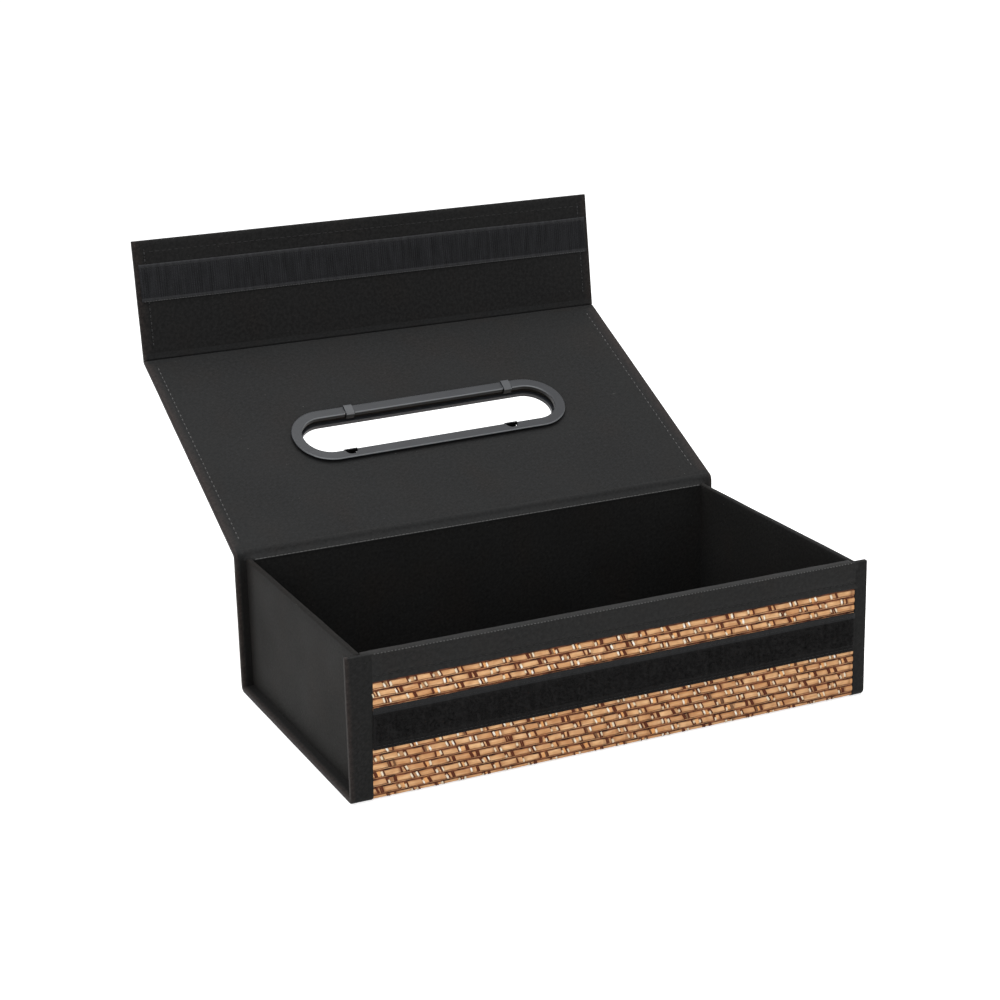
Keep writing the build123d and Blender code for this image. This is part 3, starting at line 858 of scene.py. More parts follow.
def plastic_finish(name, base, shade, painted_highlight, cut_grime_and_shade):
    """Moulded grey plastic with a faint grain and small scuffs. Faces turned towards the hinge take a lighter
    colour, a painted highlight, and faces inside the cut a near-black colour, painted shade with some grime."""
    finish = Finish(name, Specular_IOR_Level=0.24)
    grain = finish.noise(1800, 2.0, solid=True)
    cloud = finish.noise(40, solid=True)
    scuffs = finish.noise((90, 900, 400), 4.0, 0.8, solid=True)
    colour = finish.stain(base, cloud, 0.3, 0.7, shade)
    spot = finish.node("ShaderNodeTexCoord")
    # Faces turned towards the hinge are painted lighter: a painted highlight for the light that falls on them
    # from the front.
    facing = finish.dot(spot.outputs["Normal"], (0, -lid.along[0], -lid.along[1]))
    colour = finish.stain(colour, facing, 0.10, 0.85, painted_highlight)
    # Inside the cut, past the bezel's outer part and below the ring's face, the colour is painted dark:
    # painted shade in the hollow, with some grime.
    depth = finish.dot(spot.outputs["Object"], (0, lid.inward[0], lid.inward[1]))
    outside = float(lid.origin @ lid.inward)
    inside = outside + PANEL + RING_RISE
    past_bezel = finish.steps(depth, outside + 1.7 * MM, outside + 2.1 * MM)
    before_ring = finish.steps(depth, inside - 0.8 * MM, inside - 0.45 * MM, 1.0, 0.0)
    colour = finish.mix(finish.math("MULTIPLY", past_bezel, before_ring), colour, cut_grime_and_shade)
    roughness = finish.steps(scuffs, 0.55, 0.75, 0.34, 0.48)
    return finish.done(Base_Color=colour, Roughness=roughness, Normal=finish.bump(grain, 0.02 * MM, 0.5))


def board_finish(name, face, fleck, streak):
    """Recycled board: pressed fibres in thin layers."""
    finish = Finish(name, Roughness=0.9, Specular_IOR_Level=0.1)
    layers = finish.noise((60, 60, 2600), solid=True)
    fibres = finish.noise((420, 420, 900), 5.0, 0.6, solid=True)
    colour = finish.stain(face, fibres, 0.4, 0.72, fleck)
    layer_shade = rgb(0.16 * streak, 0.12 * streak, 0.08 * streak)
    colour = finish.stain(colour, layers, 0.4, 0.7, layer_shade, 0.35)
    return finish.done(Base_Color=colour, Normal=finish.bump(fibres, 0.1 * MM, 0.7))


def black(name, level, warmth=0.0, specular=0.14, sheen=0.03, lint=0.5, mottle=0.35):
    """The black cloth of one sheet at its own level. The levels are painted light and shade: lit and shaded
    copies of one cloth, each set to the light its sheet gets.
    """
    tints = (1 + warmth, 1.0, 0.985 - warmth)
    dark, light = (rgb(*(level * value * tint for tint in tints)) for value in (0.0028, 0.0161))
    return cloth_finish(name, dark, light, specular, sheen, lint, mottle)


# Painted light and shade by level: the flap is darker, the far wall and the inner liners lighter.
lining_cloth = black("tray_lining", 0.95, specular=0.12, mottle=0.6)
lid_black = black("lid_lining", 0.95, warmth=-0.03)
flap_black = black("flap_lining", 0.65, mottle=1.0)
strip_cloth = black("edge_strip", 1.0, specular=0.18, mottle=0.6)
wall_cloth = black("wall_cloth", 0.94, warmth=0.06, specular=0.08, sheen=0.01, mottle=0.2)
far_wall_cloth = black("far_wall_cloth", 1.15, warmth=0.02, specular=0.08, sheen=0.01, mottle=0.2)
liner_cloth = black("inner_liner", 1.05, specular=0.08, sheen=0.01, lint=0.3, mottle=0.2)
slats = slat_finish()
binding = thread_finish()
sewing = sewing_finish("black_thread", rgb(0.002, 0.002, 0.002), rgb(0.008, 0.008, 0.008))
grey_sewing = sewing_finish("grey_thread", rgb(0.035, 0.035, 0.035), rgb(0.095, 0.095, 0.093))
dull_sewing = sewing_finish("dull_thread", rgb(0.008, 0.008, 0.008), rgb(0.029, 0.029, 0.031))
soft_tape = rgb(0.0040, 0.0040, 0.0045), rgb(0.0140, 0.0145, 0.0155)
soft_pile = rgb(0.0035, 0.0034, 0.0034), rgb(0.0132, 0.0127, 0.0129)
hooked = rgb(0.0026, 0.0027, 0.0032), rgb(0.0225, 0.0230, 0.0255)
hooked_edge = rgb(0.0060, 0.0062, 0.0070), rgb(0.0270, 0.0275, 0.0300)
selvedge_tape = tape_finish("tape_selvedge", *soft_tape, 0.14, 0.02)
pile_tape = tape_finish("tape_pile", *soft_pile, 0.05, 0.01)
hook_plastic = tape_finish("hook_pile", *hooked, 0.12, 0.02, rib=1.3 * MM)
hook_selvedge = tape_finish("hook_selvedge", *hooked_edge, 0.16, 0.02)
grey_tones = rgb(0.018, 0.019, 0.022), rgb(0.024, 0.026, 0.029)
# A near black for inside the cut: painted shade with some grime.
grime_and_shade = rgb(0.003, 0.003, 0.003)
# Per plastic: two grey tones, a painted highlight on faces towards the hinge, and painted shade with grime
# inside the cut.
ring_plastic = plastic_finish("ring_plastic", *grey_tones, rgb(0.20, 0.21, 0.22), grime_and_shade)
bezel_plastic = plastic_finish("bezel_plastic", *grey_tones, rgb(0.075, 0.076, 0.080), grime_and_shade)
wrap_board = board_finish("wrap_board", rgb(0.012, 0.011, 0.010), rgb(0.022, 0.019, 0.016), 0.12)
inner_card = board_finish("inner_card", rgb(0.030, 0.028, 0.025), rgb(0.048, 0.044, 0.038), 0.25)


# ---- Tray ----


def declare(piece, nodes, slot, body, flat, held, **more):
    """Put a cloth piece in its CAD nodes' place and let it ride on its body."""
    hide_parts(*nodes)
    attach(piece, body)


def tray_cloth():
    foot, under = Tray.straight, Tray.straight + Tray.bend
    rear, up = under + Tray.floor, under + Tray.floor + Tray.bend
    end = Tray.length - HINGE_DROP
    runs = (0, foot, 5), (foot, under, 0.7), (under, rear, 8), (rear, up, 0.7), (up, end, 5)
    s = np.concatenate([[0.0]] + [spread(low, high, step * MM)[1:] for low, high, step in runs])
    shape = cloth_shell(tray, s, close="start", seed=3, spacing=12 * MM, walled=(1.0, 2.0))
    piece = shape.build("tray_cloth", [lining_cloth])
    nodes = "front_lining", "bottom_lining", "back_lining"
    declare(piece, nodes, "black_cloth", "tray", (CLOTH_CUT, end), "folded")


def front_strip():
    """The strip over the front's top edge, from the weave over the rim and down inside."""
    inside_drop = 7.5 * MM
    radius = 0.7 * MM
    arc = np.linspace(0, math.pi / 2, 6)
    foot = [(0.66, 0.02), (0.1, 0.0), (-0.04, -0.3), (-0.04, -1.0), (0.0, -2.0)]
    groove = [(0.0, 0.7), (0.38, 0.0), (0.0, -0.6), (0.0, -3.0)]
    outside = [(deep * MM, STRIP_DROP + drop * MM) for deep, drop in foot]
    outside += [(deep * MM, FRONT_SEAM_DROP + drop * MM) for deep, drop in groove] + [(0.0, 4 * MM)]
    outside += [(radius * (1 - math.cos(a)), radius * (1 - math.sin(a))) for a in arc]
    inside = [(RIM - radius * (1 - math.sin(a)), radius * (1 - math.cos(a))) for a in arc]
    inside += [(RIM + 0.05 * MM, 3 * MM), (RIM + 0.05 * MM, inside_drop)]
    inside += [(RIM - 0.3 * MM, inside_drop + 0.1 * MM)]
    profile = np.array(outside + inside)
    profile_length = running_length(profile)
    left, right = [-INNER_HALF, -INNER_HALF + 0.6 * MM], [INNER_HALF - 0.05 * MM, INNER_HALF + 0.35 * MM]
    between = spread(WEAVE_LEFT + 1 * MM, INNER_HALF - 1.2 * MM, 2.5 * MM)
    x = np.concatenate([left, between, right, [WEAVE_RIGHT + 1.5 * MM]])
    spread_x, depth, drop = np.broadcast_arrays(x[:, None], *profile.T)
    # Past the weave's left edge the hem lies over it, and past the inner wall the rim is one panel thick
    under_hem = 1 - soft_step(x, WEAVE_LEFT - 0.4 * MM, WEAVE_LEFT + 1 * MM)
    depth = depth + under_hem[:, None] * np.clip(0.9 * MM - depth, 0, None)
    thin = soft_step(x, INNER_HALF, INNER_HALF + 0.3 * MM)[:, None]
    depth = np.where(depth > PANEL - radius, depth - thin * np.clip(depth - PANEL + 0.4 * MM, 0, None), depth)
    drop = drop + thin * 0.15 * MM + under_hem[:, None] * 0.1 * MM
    wobble = ripples(11, 4, 14 * MM, 60 * MM)
    outer_face = (profile[:, 0] < radius) & (profile[:, 1] > radius)
    drop = drop + 0.10 * MM * wobble(spread_x, 0) * (1 - soft_step(profile[:, 1], 1 * MM, 4 * MM))
    depth = depth - 0.05 * MM * (1 + wobble(spread_x * 1.7, drop)) * outer_face * (1 - under_hem[:, None])
    shape = Shape()
    shape.grid(joined(spread_x, FRONT_Y + depth, TOP - drop), cloth=joined(spread_x, profile_length, 0.0))
    y, z = FRONT_Y + 0.22 * MM, TOP - FRONT_SEAM_DROP
    seam(shape, (WEAVE_LEFT + 2 * MM, y, z), (WEAVE_RIGHT, y, z), (0, -1, 0), slot=1, lift=0)
    y, z = FRONT_Y + 0.30 * MM, TOP - 0.26 * MM
    ends = (WEAVE_LEFT + 1.5 * MM, y, z), (WEAVE_RIGHT - 1.5 * MM, y, z)
    seam(shape, *ends, (0, -0.7, 0.7), slot=2, pitch=1.65 * MM, length=0.62 * MM, radius=0.19 * MM)
    piece = shape.build("front_top_strip", [strip_cloth, sewing, grey_sewing])
    flat = 2 * INNER_HALF, STRIP_DROP + RIM + inside_drop
    declare(piece, ["front_edge_strip"], "black_cloth", "tray", flat, "folded")


def side_wall(side, name, seed):
    """The cloth of a side wall: up its outer face, over its top and down inside."""
    thickness = WALL_OUTSIDE - INNER_HALF
    faces = spread(PANEL, TOP - EDGE_ROUND, 4 * MM)
    turn = np.linspace(0, math.pi / 2, 5)[1:]
    over, rise = EDGE_ROUND * np.cos(turn), TOP - EDGE_ROUND * (1 - np.sin(turn))
    profile = [(WALL_OUTSIDE, z) for z in faces]
    profile += list(zip(WALL_OUTSIDE - EDGE_ROUND + over, rise))
    profile += list(zip(INNER_HALF + EDGE_ROUND - over[::-1], rise[::-1]))
    profile += [(INNER_HALF, z) for z in faces[::-1]]
    profile = np.array(profile)
    y = spread(FRONT_Y + PANEL - 0.1 * MM, BACK_Y - PANEL + 0.1 * MM, 3 * MM)
    run, height = np.broadcast_arrays(y[:, None], profile[:, 1])
    outer = profile[:, 0] > INNER_HALF + thickness / 2
    ends = amid((y - y[0]) / (y[-1] - y[0]), 0, 1, 0.12)
    waves = ripples(seed, 5, 35 * MM, 110 * MM)(run, height)
    feet = soft_step(height, PANEL, PANEL + 14 * MM) * (1 - 0.7 * soft_step(height, TOP - 5 * MM, TOP))
    swell = np.clip(0.35 + 0.45 * waves, 0.02, None) * MM * ends[:, None] * feet
    crest = 0.15 * MM * ripples(seed + 7, 4, 25 * MM, 80 * MM)(y, 0) * ends
    x = profile[:, 0] + np.where(outer, swell, -0.25 * swell)
    lifted = height + crest[:, None] * soft_step(height, TOP - 12 * MM, TOP)
    shape = Shape()
    cloth = joined(run, running_length(profile), 0.0)
    shape.grid(joined(side * x, run, lifted), cloth=cloth, flip=side > 0)
    piece = shape.build(f"{name}_cloth", [wall_cloth if side < 0 else far_wall_cloth])
    flat = y[-1] - y[0], 2 * (TOP - PANEL) + thickness
    declare(piece, [f"{name}_cover"], "black_cloth", "tray", flat, "folded")


def inner_liners():
    """Thin black cloth over the cards inside the tray."""
    x = spread(-INNER_HALF, INNER_HALF, 4 * MM)
    z = spread(FLOOR_TOP - 0.3 * MM, TOP - 2 * MM, 4 * MM)
    y = spread(INNER_FRONT, INNER_BACK, 4 * MM)
    waves = ripples(21, 6, 30 * MM, 120 * MM)
    low, high = 0.10 * MM, 0.35 * MM
    wall = 2 * INNER_HALF, TOP - FLOOR_TOP
    grid_x, grid_z = np.meshgrid(x, z)
    sides = soft_step(INNER_HALF - np.abs(grid_x), 0, 10 * MM)
    fade = sides * soft_step(TOP - grid_z, 9 * MM, 22 * MM)  # flat over the end of the edge strip
    front = joined(grid_x, INNER_FRONT + low + high * fade * waves(grid_x, grid_z), grid_z)
    add_liner("front", front, joined(grid_x, grid_z, 0.0), wall, flip=True)
    fade = sides * soft_step(TOP - grid_z, 2 * MM, 12 * MM)
    grid_z = grid_z + (grid_z > TOP - 3 * MM) * 1.5 * MM  # up under the lid's lining
    back = joined(grid_x, INNER_BACK - low - high * fade * waves(grid_x, grid_z + 1), grid_z)
    add_liner("back", back, joined(grid_x, grid_z, 0.0), wall)
    grid_x, grid_y = np.meshgrid(x, y)
    edge = np.minimum(INNER_HALF - np.abs(grid_x), INNER_BACK - np.abs(grid_y))
    level = FLOOR_TOP + low + high * waves(grid_x, grid_y) * soft_step(edge, 0, 14 * MM)
    ground = 2 * INNER_HALF, INNER_BACK - INNER_FRONT
    add_liner("floor", joined(grid_x, grid_y, level), joined(grid_x, grid_y, 0.0), ground)


def add_liner(part, points, cloth, flat, flip=False):
    shape = Shape()
    shape.grid(points, cloth=cloth, flip=flip)
    piece = shape.build(f"{part}_inside_cloth", [liner_cloth])
    declare(piece, [f"{part}_liner"], "liner_cloth", "tray", flat, "stretched")


def tray_weave():
    """The woven skin of the tray, split where the wrap turns under."""
    hidden = (TOP - LOOP_HIGH.z + 1 * MM, TOP - LOOP_LOW.z - 1 * MM)
    start, end = STRIP_DROP, Tray.length - HINGE_DROP
    pitch = (end - start) / round((end - start) / SLAT_PITCH)
    turns = (Tray.straight + Tray.bend / 2, Tray.straight + Tray.bend * 1.5 + Tray.floor)
    first, second = (start + round((turn - start) / pitch) * pitch for turn in turns)
    add_weave(weave(tray, start, first, 31, fine=True, hidden=hidden), "front", "tray", first - start)
    add_weave(weave(tray, first, second, 32), "bottom", "tray", second - first)
    add_weave(weave(tray, second, end, 33), "back", "tray", end - second)


def add_weave(shape, part, body, length):
    piece = shape.build(f"{part}_slats", [slats, binding])
    declare(piece, [f"{part}_weave"], "woven_slat", body, (WEAVE_CUT, length), "stretched")


# ---- Hook and loop tapes ----


def tape_profile(width, rise, bulge):
    """(across, height) over a tape: selvedge, pile and selvedge, and how many points the first two have."""
    base = TAPE_BASE
    low = [(0.0, 0.05 * MM), (0.12 * MM, base), (0.5 * MM, base + 0.12 * MM), (1.3 * MM, base + 0.12 * MM)]
    low += [(2.0 * MM, base - bulge), (SELVEDGE - 0.5 * MM, base)]
    pile = [(across, rise) for across in spread(SELVEDGE + 0.3 * MM, width - SELVEDGE - 0.3 * MM, 0.8 * MM)]
    high = [(width - across, height) for across, height in low[::-1]]
    return np.array(low + pile + high), len(low), len(pile)


def tape_band(points, cloth, first, last, low_slot=0):
    """A tape's upper selvedge, its pile between two columns of its points, and its lower selvedge."""
    shape = Shape()
    for columns, slot in ((slice(first), 0), (slice(first - 1, last + 1), 1), (slice(last, None), low_slot)):
        shape.grid(points[:, columns], slot=slot, cloth=cloth[:, columns])
    return shape


def add_tape(band, tufts, name, body, flat):
    """A tape's band with the loops or hooks that stand on it."""
    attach(tufts, body)
    declare(band, [name], name, body, flat, "stretched", with_pieces=[tufts])


def loop_tape():
    """The soft half of the closure, sewn across the front."""
    width = LOOP_HIGH.z - LOOP_LOW.z
    rise = FRONT_Y - LOOP_LOW.y
    profile, before, piled = tape_profile(width, rise * 0.72, 0.1 * MM)
    x = spread(WEAVE_LEFT, WEAVE_RIGHT + 0.3 * MM, 0.9 * MM)
    across, height = (np.broadcast_to(values, (len(x), len(profile))).copy() for values in profile.T)
    rng = np.random.default_rng(41)
    height[:, before : before + piled] += rng.uniform(-0.28, 0.16, (len(x), piled)) * MM
    ends = amid(x, x[0], x[-1], 0.8 * MM)
    height *= 0.3 + 0.7 * ends[:, None]
    # The left end follows the hem's slant
    share = ((x - x[-1]) / (x[0] - x[-1]))[:, None]
    wide = x[:, None] + share * hem_slant(TOP - LOOP_HIGH.z + profile[:, 0])
    lift = 0.15 * MM * ripples(42, 4, 40 * MM, 90 * MM)(x, 0)[:, None]
    points = joined(wide, FRONT_Y - height, LOOP_HIGH.z - across + lift)
    shape = tape_band(points, joined(wide, across, 0.0), before, before + piled, low_slot=1)
    for z in (LOOP_HIGH.z - 1.7 * MM, LOOP_LOW.z + 1.7 * MM):
        ends = (WEAVE_LEFT + 1 * MM, FRONT_Y - TAPE_BASE, z), (WEAVE_RIGHT - 1 * MM, FRONT_Y - TAPE_BASE, z)
        seam(shape, *ends, (0, -1, 0), slot=2, pitch=2.6 * MM, radius=0.13 * MM)
    band = shape.build("loop_tape_band", [selvedge_tape, pile_tape, sewing])
    add_tape(band, tape_loops(rng), "loop_tape", "tray", (x[-1] - x[0], width))


def tape_loops(rng, count=6500):
    """The pile's fine nylon loops, each a small arch."""
    spots = rng.uniform(0, 1, (count, 2))
    x = WEAVE_LEFT + 0.8 * MM + spots[:, 0] * (WEAVE_CUT - 1.6 * MM)
    z = LOOP_LOW.z + SELVEDGE + spots[:, 1] * (LOOP_HIGH.z - LOOP_LOW.z - 2 * SELVEDGE)
    turn = rng.uniform(0, math.pi, count)
    reach = rng.uniform(0.30, 0.62, count) * MM
    arc = np.linspace(0, math.pi, 6)
    sideways = reach[:, None] * np.cos(arc)
    out = (0.75 + 0.62 * np.sin(arc)) * MM + rng.uniform(-0.1, 0.05, (count, 1)) * MM
    tilt = rng.uniform(-0.5, 0.5, (count, 1)) * MM * np.sin(arc)
    cos, sin = np.cos(turn)[:, None], np.sin(turn)[:, None]
    wide = x[:, None] + sideways * cos - tilt * sin
    points = joined(wide, FRONT_Y - out, z[:, None] + sideways * sin + tilt * cos)
    shape = Shape()
    shape.tubes(points, 0.075 * MM, (0, -1, 0), sides=3, tone=rng.uniform(0, 1, count))
    return shape.build("loop_tape_loops", [pile_tape])


def hook_tape():
    """The hooked half of the closure, sewn across the flap's inner face."""
    width = HOOK_END - HOOK_START
    profile, before, _ = tape_profile(width, TAPE_BASE + 0.05 * MM, 0.05 * MM)
    x = spread(-HOOK_HALF, HOOK_HALF, 2.2 * MM)
    wide, across, height = np.broadcast_arrays(x[:, None], *profile.T)
    s = HOOK_END - across + 0.2 * MM * ripples(71, 4, 50 * MM, 120 * MM)(wide, 0)
    points = place(flap, wide, s, PANEL + height)
    # The hooks come close to the tape's edges
    shape = tape_band(points, joined(wide, s, 0.0), before - 1, len(profile) - before + 1)
    edges = (HOOK_START + 0.35 * MM, 1.5 * MM, 1.0 * MM, 3), (HOOK_END - 1.7 * MM, 2.6 * MM, None, 2)
    for at, pitch, length, slot in edges:
        ends = [place(flap, end, at, PANEL + TAPE_BASE) for end in (-HOOK_HALF + 1 * MM, HOOK_HALF - 1 * MM)]
        seam(shape, *ends, (0, *flap.inward), slot, pitch=pitch, length=length, radius=0.15 * MM)
    band = shape.build("hook_tape_band", [hook_selvedge, hook_plastic, sewing, grey_sewing])
    add_tape(band, tape_hooks(), "hook_tape", "flap", (2 * HOOK_HALF, width))


def tape_hooks():
    """Rows of small hooks that lean across the tape, one column up and the next down."""
    rng = np.random.default_rng(72)
    rise = 0.62 * MM
    columns = spread(-HOOK_HALF + 1 * MM, HOOK_HALF - 1 * MM, 1.15 * MM)
    rows = spread(HOOK_START + HOOK_SELVEDGE, HOOK_END - HOOK_SELVEDGE, 0.95 * MM)
    grid_x, grid_s = (side.ravel() for side in np.meshgrid(columns, rows))
    way = np.tile(np.where(np.arange(len(columns)) % 2, 1.0, -1.0), len(rows))
    grid_x = grid_x + rng.normal(0, 0.05 * MM, grid_x.shape)
    bow = np.array([0.0, 0.02, 0.12, 0.34, 0.52, 0.50]) * MM
    height = np.array([0.0, 0.45, 0.85, 1.0, 0.86, 0.66]) * rise
    s = grid_s[:, None] + way[:, None] * (bow - 0.2 * MM)
    points = place(flap, grid_x[:, None], s, PANEL + TAPE_BASE + height)
    shape = Shape()
    shape.tubes(points, 0.12 * MM, (1, 0, 0), sides=4, tone=rng.uniform(0, 1, len(grid_x)))
    return shape.build("hook_tape_hooks", [hook_plastic])


# ---- Cloth hinges ----


def lid_bend():
    """The cloth and weave between back and lid."""
    back_inner = BACK_Y - PANEL
    start = TOP - HINGE_DROP
    outer_corner = (BACK_Y, TOP + 1.0 * MM)
    outer = eased([(BACK_Y, start), outer_corner, lid.at(LID_REACH, 0)], 41, passes=6)
    corner = (back_inner + 0.45 * MM, TOP + 2.6 * MM)
    ends = lid.at(0.6 * MM, PANEL), lid.at(LID_REACH, PANEL)
    inner = eased([(back_inner, start), (back_inner, TOP + 0.4 * MM), corner, *ends], 41, passes=2)
    return Bend(outer, inner)


def rim_cloth(shape, bend):
    """The lining from the lid down over the back's rim to its sewn edge. Past the inside's ends it joins
    the fold's own face."""
    rise = ((-0.40, -0.75), (-0.42, -0.20), (0.0, 0.20), (1.0, 0.85), (2.2, 1.95), (2.95, 3.05))
    lid_end = [tuple(lid.at(at, PANEL + 0.06 * MM)) for at in (0.7 * MM, 2.2 * MM)]
    profile = eased([(INNER_BACK + y * MM, TOP + z * MM) for y, z in rise] + lid_end, 21, passes=2)
    profile[-1] = lid.at(2.2 * MM, PANEL - 0.05 * MM)
    inner = bend.outer + bend.inward * PANEL
    behind = joined(np.interp(profile[:, 1], inner[:, 1], inner[:, 0]) + 0.05 * MM, profile[:, 1])
    behind = np.where((profile[:, 1] < lid_end[0][1])[:, None], behind, profile)
    x = spread(-HALF + 1.5 * MM, HALF - 1.5 * MM, 2 * MM)
    past = soft_step(np.abs(x), INNER_HALF - 0.6 * MM, INNER_HALF + 3.4 * MM)[:, None, None]
    yz = profile * (1 - past) + behind * past
    wobble = 0.07 * MM * ripples(61, 4, 9 * MM, 40 * MM)(x, 0)
    yz[:, 2:-4, 1] += (wobble * (1 - past[:, 0, 0]))[:, None]
    cloth = joined(x[:, None], running_length(profile), 0.0)
    shape.grid(joined(x[:, None], yz[..., 0], yz[..., 1]), cloth=cloth, flip=True)
    ends = [(side * (INNER_HALF - 1 * MM), INNER_BACK - 0.32 * MM, TOP - 0.12 * MM) for side in (-1, 1)]
    seam(shape, *ends, (0, -0.8, 0.6), slot=1, pitch=2.1 * MM, length=1.6 * MM, radius=0.24 * MM)


def flap_bend():
    """The cloth and weave between lid and flap, with a sharp crease inside."""
    arc = np.linspace(LID_TURN, FLAP_TURN, 6)
    outside = [flap_hinge + PANEL / 2 * np.array([math.sin(a), -math.cos(a)]) for a in arc]
    ends = lid.at(LID_LENGTH - FLAP_REACH, 0), flap.at(FLAP_REACH, 0)
    outer = eased([ends[0], *outside, ends[1]], 35, passes=2)
    middle = (LID_TURN + FLAP_TURN) / 2
    crease = flap_hinge + 0.95 * MM * np.array([-math.sin(middle), math.cos(middle)])
    corner = 1.25 * MM
    before = [lid.at(LID_LENGTH - gap, PANEL) for gap in (FLAP_REACH, corner)]
    after = [flap.at(gap, PANEL) for gap in (corner, FLAP_REACH)]
    return Bend(outer, eased([*before, crease, *after], 35, passes=1))


def hinge(bend, part, bodies, axis, direction, reach, seeds, rim=False):
    """Cloth and slats over one fold, from one panel round to the next."""
    walled = (HINGE_DROP - 3 * MM, HINGE_DROP) if rim else None
    lining = cloth_shell(bend, bend.s, seed=seeds[0], walled=walled)
    if rim:
        rim_cloth(lining, bend)
    cloth = lining.build(f"{part}_fold_cloth", [lid_black, grey_sewing])
    woven = weave(bend, 0, bend.length, seeds[1]).build(f"{part}_fold_slats", [slats, binding])
    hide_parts(f"{part}_hinge_fold")
    cloth_length = bend.length + (8 * MM if rim else 0)
    for piece, flat, slot in (
        (cloth, (CLOTH_CUT, cloth_length), "black_cloth"),
        (woven, (WEAVE_CUT, bend.length), "woven_slat"),
    ):
        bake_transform(piece)


def hinges():
    """Both folds."""
    middle = (LID_TURN + FLAP_TURN) / 2
    across = np.array([math.cos(middle), math.sin(middle)])
    reach = (1.3 * MM, 1.65 * MM)
    hinge(lid_bend(), "lid", ("tray", "lid"), lid_hinge, BACK_TO_LID, reach, (5, 51), rim=True)
    reach = (1.6 * MM, 1.6 * MM)
    hinge(flap_bend(), "flap", ("lid", "flap"), flap_hinge, across, reach, (6, 52))


# ---- Lid and flap ----


def side_seams(shape, panel, insets, start, end):
    """Pulled seams down both sides of a panel's lining, at insets from its left and right edge."""
    for x in (-HALF + insets[0], HALF - insets[1]):
        ends = [place(panel, x, at, PANEL) for at in (start, end)]
        pulled_seam(shape, *ends, (0, *panel.inward))


def lid_cloth():
    s = spread(LID_REACH, LID_LENGTH - FLAP_REACH, CLOTH_SAMPLE)
    shape = cloth_shell(lid, s, seams=LID_SEAMS, seed=7, cut=True)
    side_seams(shape, lid, LID_SEAMS, s[0] + 4 * MM, s[-1] - 3 * MM)
    piece = shape.build("lid_cloth", [lid_black, sewing, grey_sewing])
    declare(piece, ["lid_lining"], "black_cloth", "lid", (CLOTH_CUT, s[-1] - s[0]), "stretched")
    add_weave(weave(lid, s[0], s[-1], 53, cut=True), "lid", "lid", s[-1] - s[0])


def flap_cloth():
    s = spread(FLAP_REACH, FLAP_END, CLOTH_SAMPLE)
    hem = FLAP_END - FLAP_HEM
    shape = cloth_shell(flap, s, seams=FLAP_SEAMS, seed=8, close="end")
    outside_hem(shape, flap, hem, FLAP_END)
    side_seams(shape, flap, FLAP_SEAMS, s[0] + 3 * MM, FLAP_END - 5 * MM)
    across = [place(flap, x, FLAP_END - FLAP_SEAM_FROM_END, PANEL) for x in (-HALF + 8 * MM, HALF - 8 * MM)]
    seam(shape, *across, (0, *flap.inward), lift=-0.09 * MM, slot=1)
    piece = shape.build("flap_cloth", [flap_black, sewing, dull_sewing])
    flat = CLOTH_CUT, FLAP_END - FLAP_REACH + FLAP_HEM
    declare(piece, ["flap_lining"], "black_cloth", "flap", flat, "folded")
    add_weave(weave(flap, FLAP_REACH, hem, 54), "flap", "flap", hem - FLAP_REACH)


# ---- CAD pieces that stay ----


def dress_cad():
    """Give the boards, the cards and the slot's plastic rings their materials."""
    parts = "front", "bottom", "back", "lid", "flap", "left_wall", "right_wall"
    finishes = {
        wrap_board: [f"{part}_board" for part in parts],
        inner_card: ["front_inner_card", "back_inner_card", "floor_card"],
        ring_plastic: ["slot_ring"],
        bezel_plastic: ["slot_bezel"],
    }
    for material, names in finishes.items():
        for name in names:
            mesh = frame["nodes"][name].data
            mesh.materials.clear()
            mesh.materials.append(material)


# ---- Stage ----

FOCAL = 79.85
SENSOR = 36.0
CAMERA_AT = (-0.44719, -0.9173, 0.42586)
CAMERA_RIGHT = (0.904993, -0.424831, -0.022486)
CAMERA_DOWN = (-0.148346, -0.265593, -0.952604)
CAMERA_AHEAD = (0.398723, 0.865436, -0.303382)


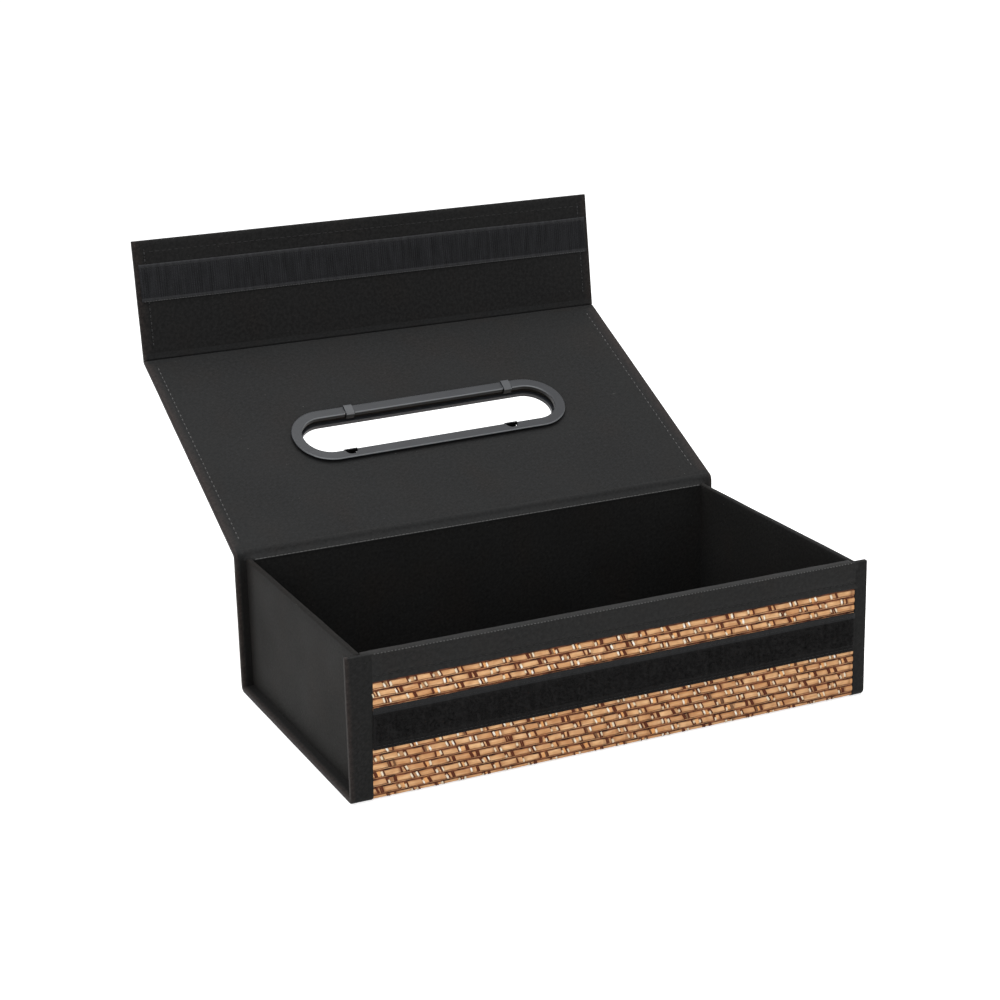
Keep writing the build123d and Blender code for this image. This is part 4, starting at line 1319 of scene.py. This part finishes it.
def camera():
    data = bpy.data.cameras.new("camera")
    data.lens, data.sensor_width = FOCAL, SENSOR
    data.clip_start = 0.05
    view = put("camera", data)
    axes = Matrix((CAMERA_RIGHT, [-v for v in CAMERA_DOWN], [-v for v in CAMERA_AHEAD])).transposed()
    view.matrix_world = Matrix.Translation(CAMERA_AT) @ axes.to_4x4()
    bpy.context.scene.camera = view


def softbox(name, at, aim, size, power):
    data = bpy.data.lights.new(name, "AREA")
    data.shape, data.size, data.energy = "SQUARE", size, power
    lamp = put(name, data)
    lamp.location = at
    lamp.rotation_euler = (Vector(aim) - Vector(at)).to_track_quat("-Z", "Y").to_euler()


def world(ambient):
    """White as the background, and light of its own level on everything."""
    light = bpy.data.worlds.new("studio")
    bpy.context.scene.world = light
    nodes = Nodes(light)
    strength = nodes.steps(nodes.background_share(), 0.0, 1.0, ambient, 1.0)
    sockets = nodes.tree.nodes["Background"].inputs
    nodes.plug(sockets["Color"], rgb(1, 1, 1))
    nodes.plug(sockets["Strength"], strength)


def floor(own_light):
    """A pale floor that takes the object's shadow and otherwise runs into the white background."""
    mesh = bpy.data.meshes.new("floor")
    reach = 6.0
    corners = [(-reach, -reach, 0), (reach, -reach, 0), (reach, reach, 0), (-reach, reach, 0)]
    mesh.from_pydata(corners, [], [(0, 1, 2, 3)])
    finish = Finish("pale_floor", Base_Color=rgb(0.70, 0.70, 0.70), Roughness=0.9, Specular_IOR_Level=0.0)
    glow = finish.math("MULTIPLY", finish.background_share(), own_light)
    mesh.materials.append(finish.done(Emission_Color=rgb(1, 1, 1), Emission_Strength=glow))
    put("floor", mesh)


camera()
bpy.context.scene.view_settings.view_transform = "Standard"
world(ambient=0.50)
floor(own_light=0.72)
softbox("overhead", at=(-0.10, 0.10, 1.3), aim=(0, 0.05, 0.05), size=1.2, power=20.0)
softbox("front_fill", at=(-0.7, -1.5, 0.7), aim=(0, 0, 0.08), size=0.9, power=11.0)

tray_cloth()
front_strip()
side_wall(-1, "left_wall", 22)
side_wall(1, "right_wall", 23)
inner_liners()
tray_weave()
loop_tape()
hinges()
lid_cloth()
flap_cloth()
hook_tape()
dress_cad()
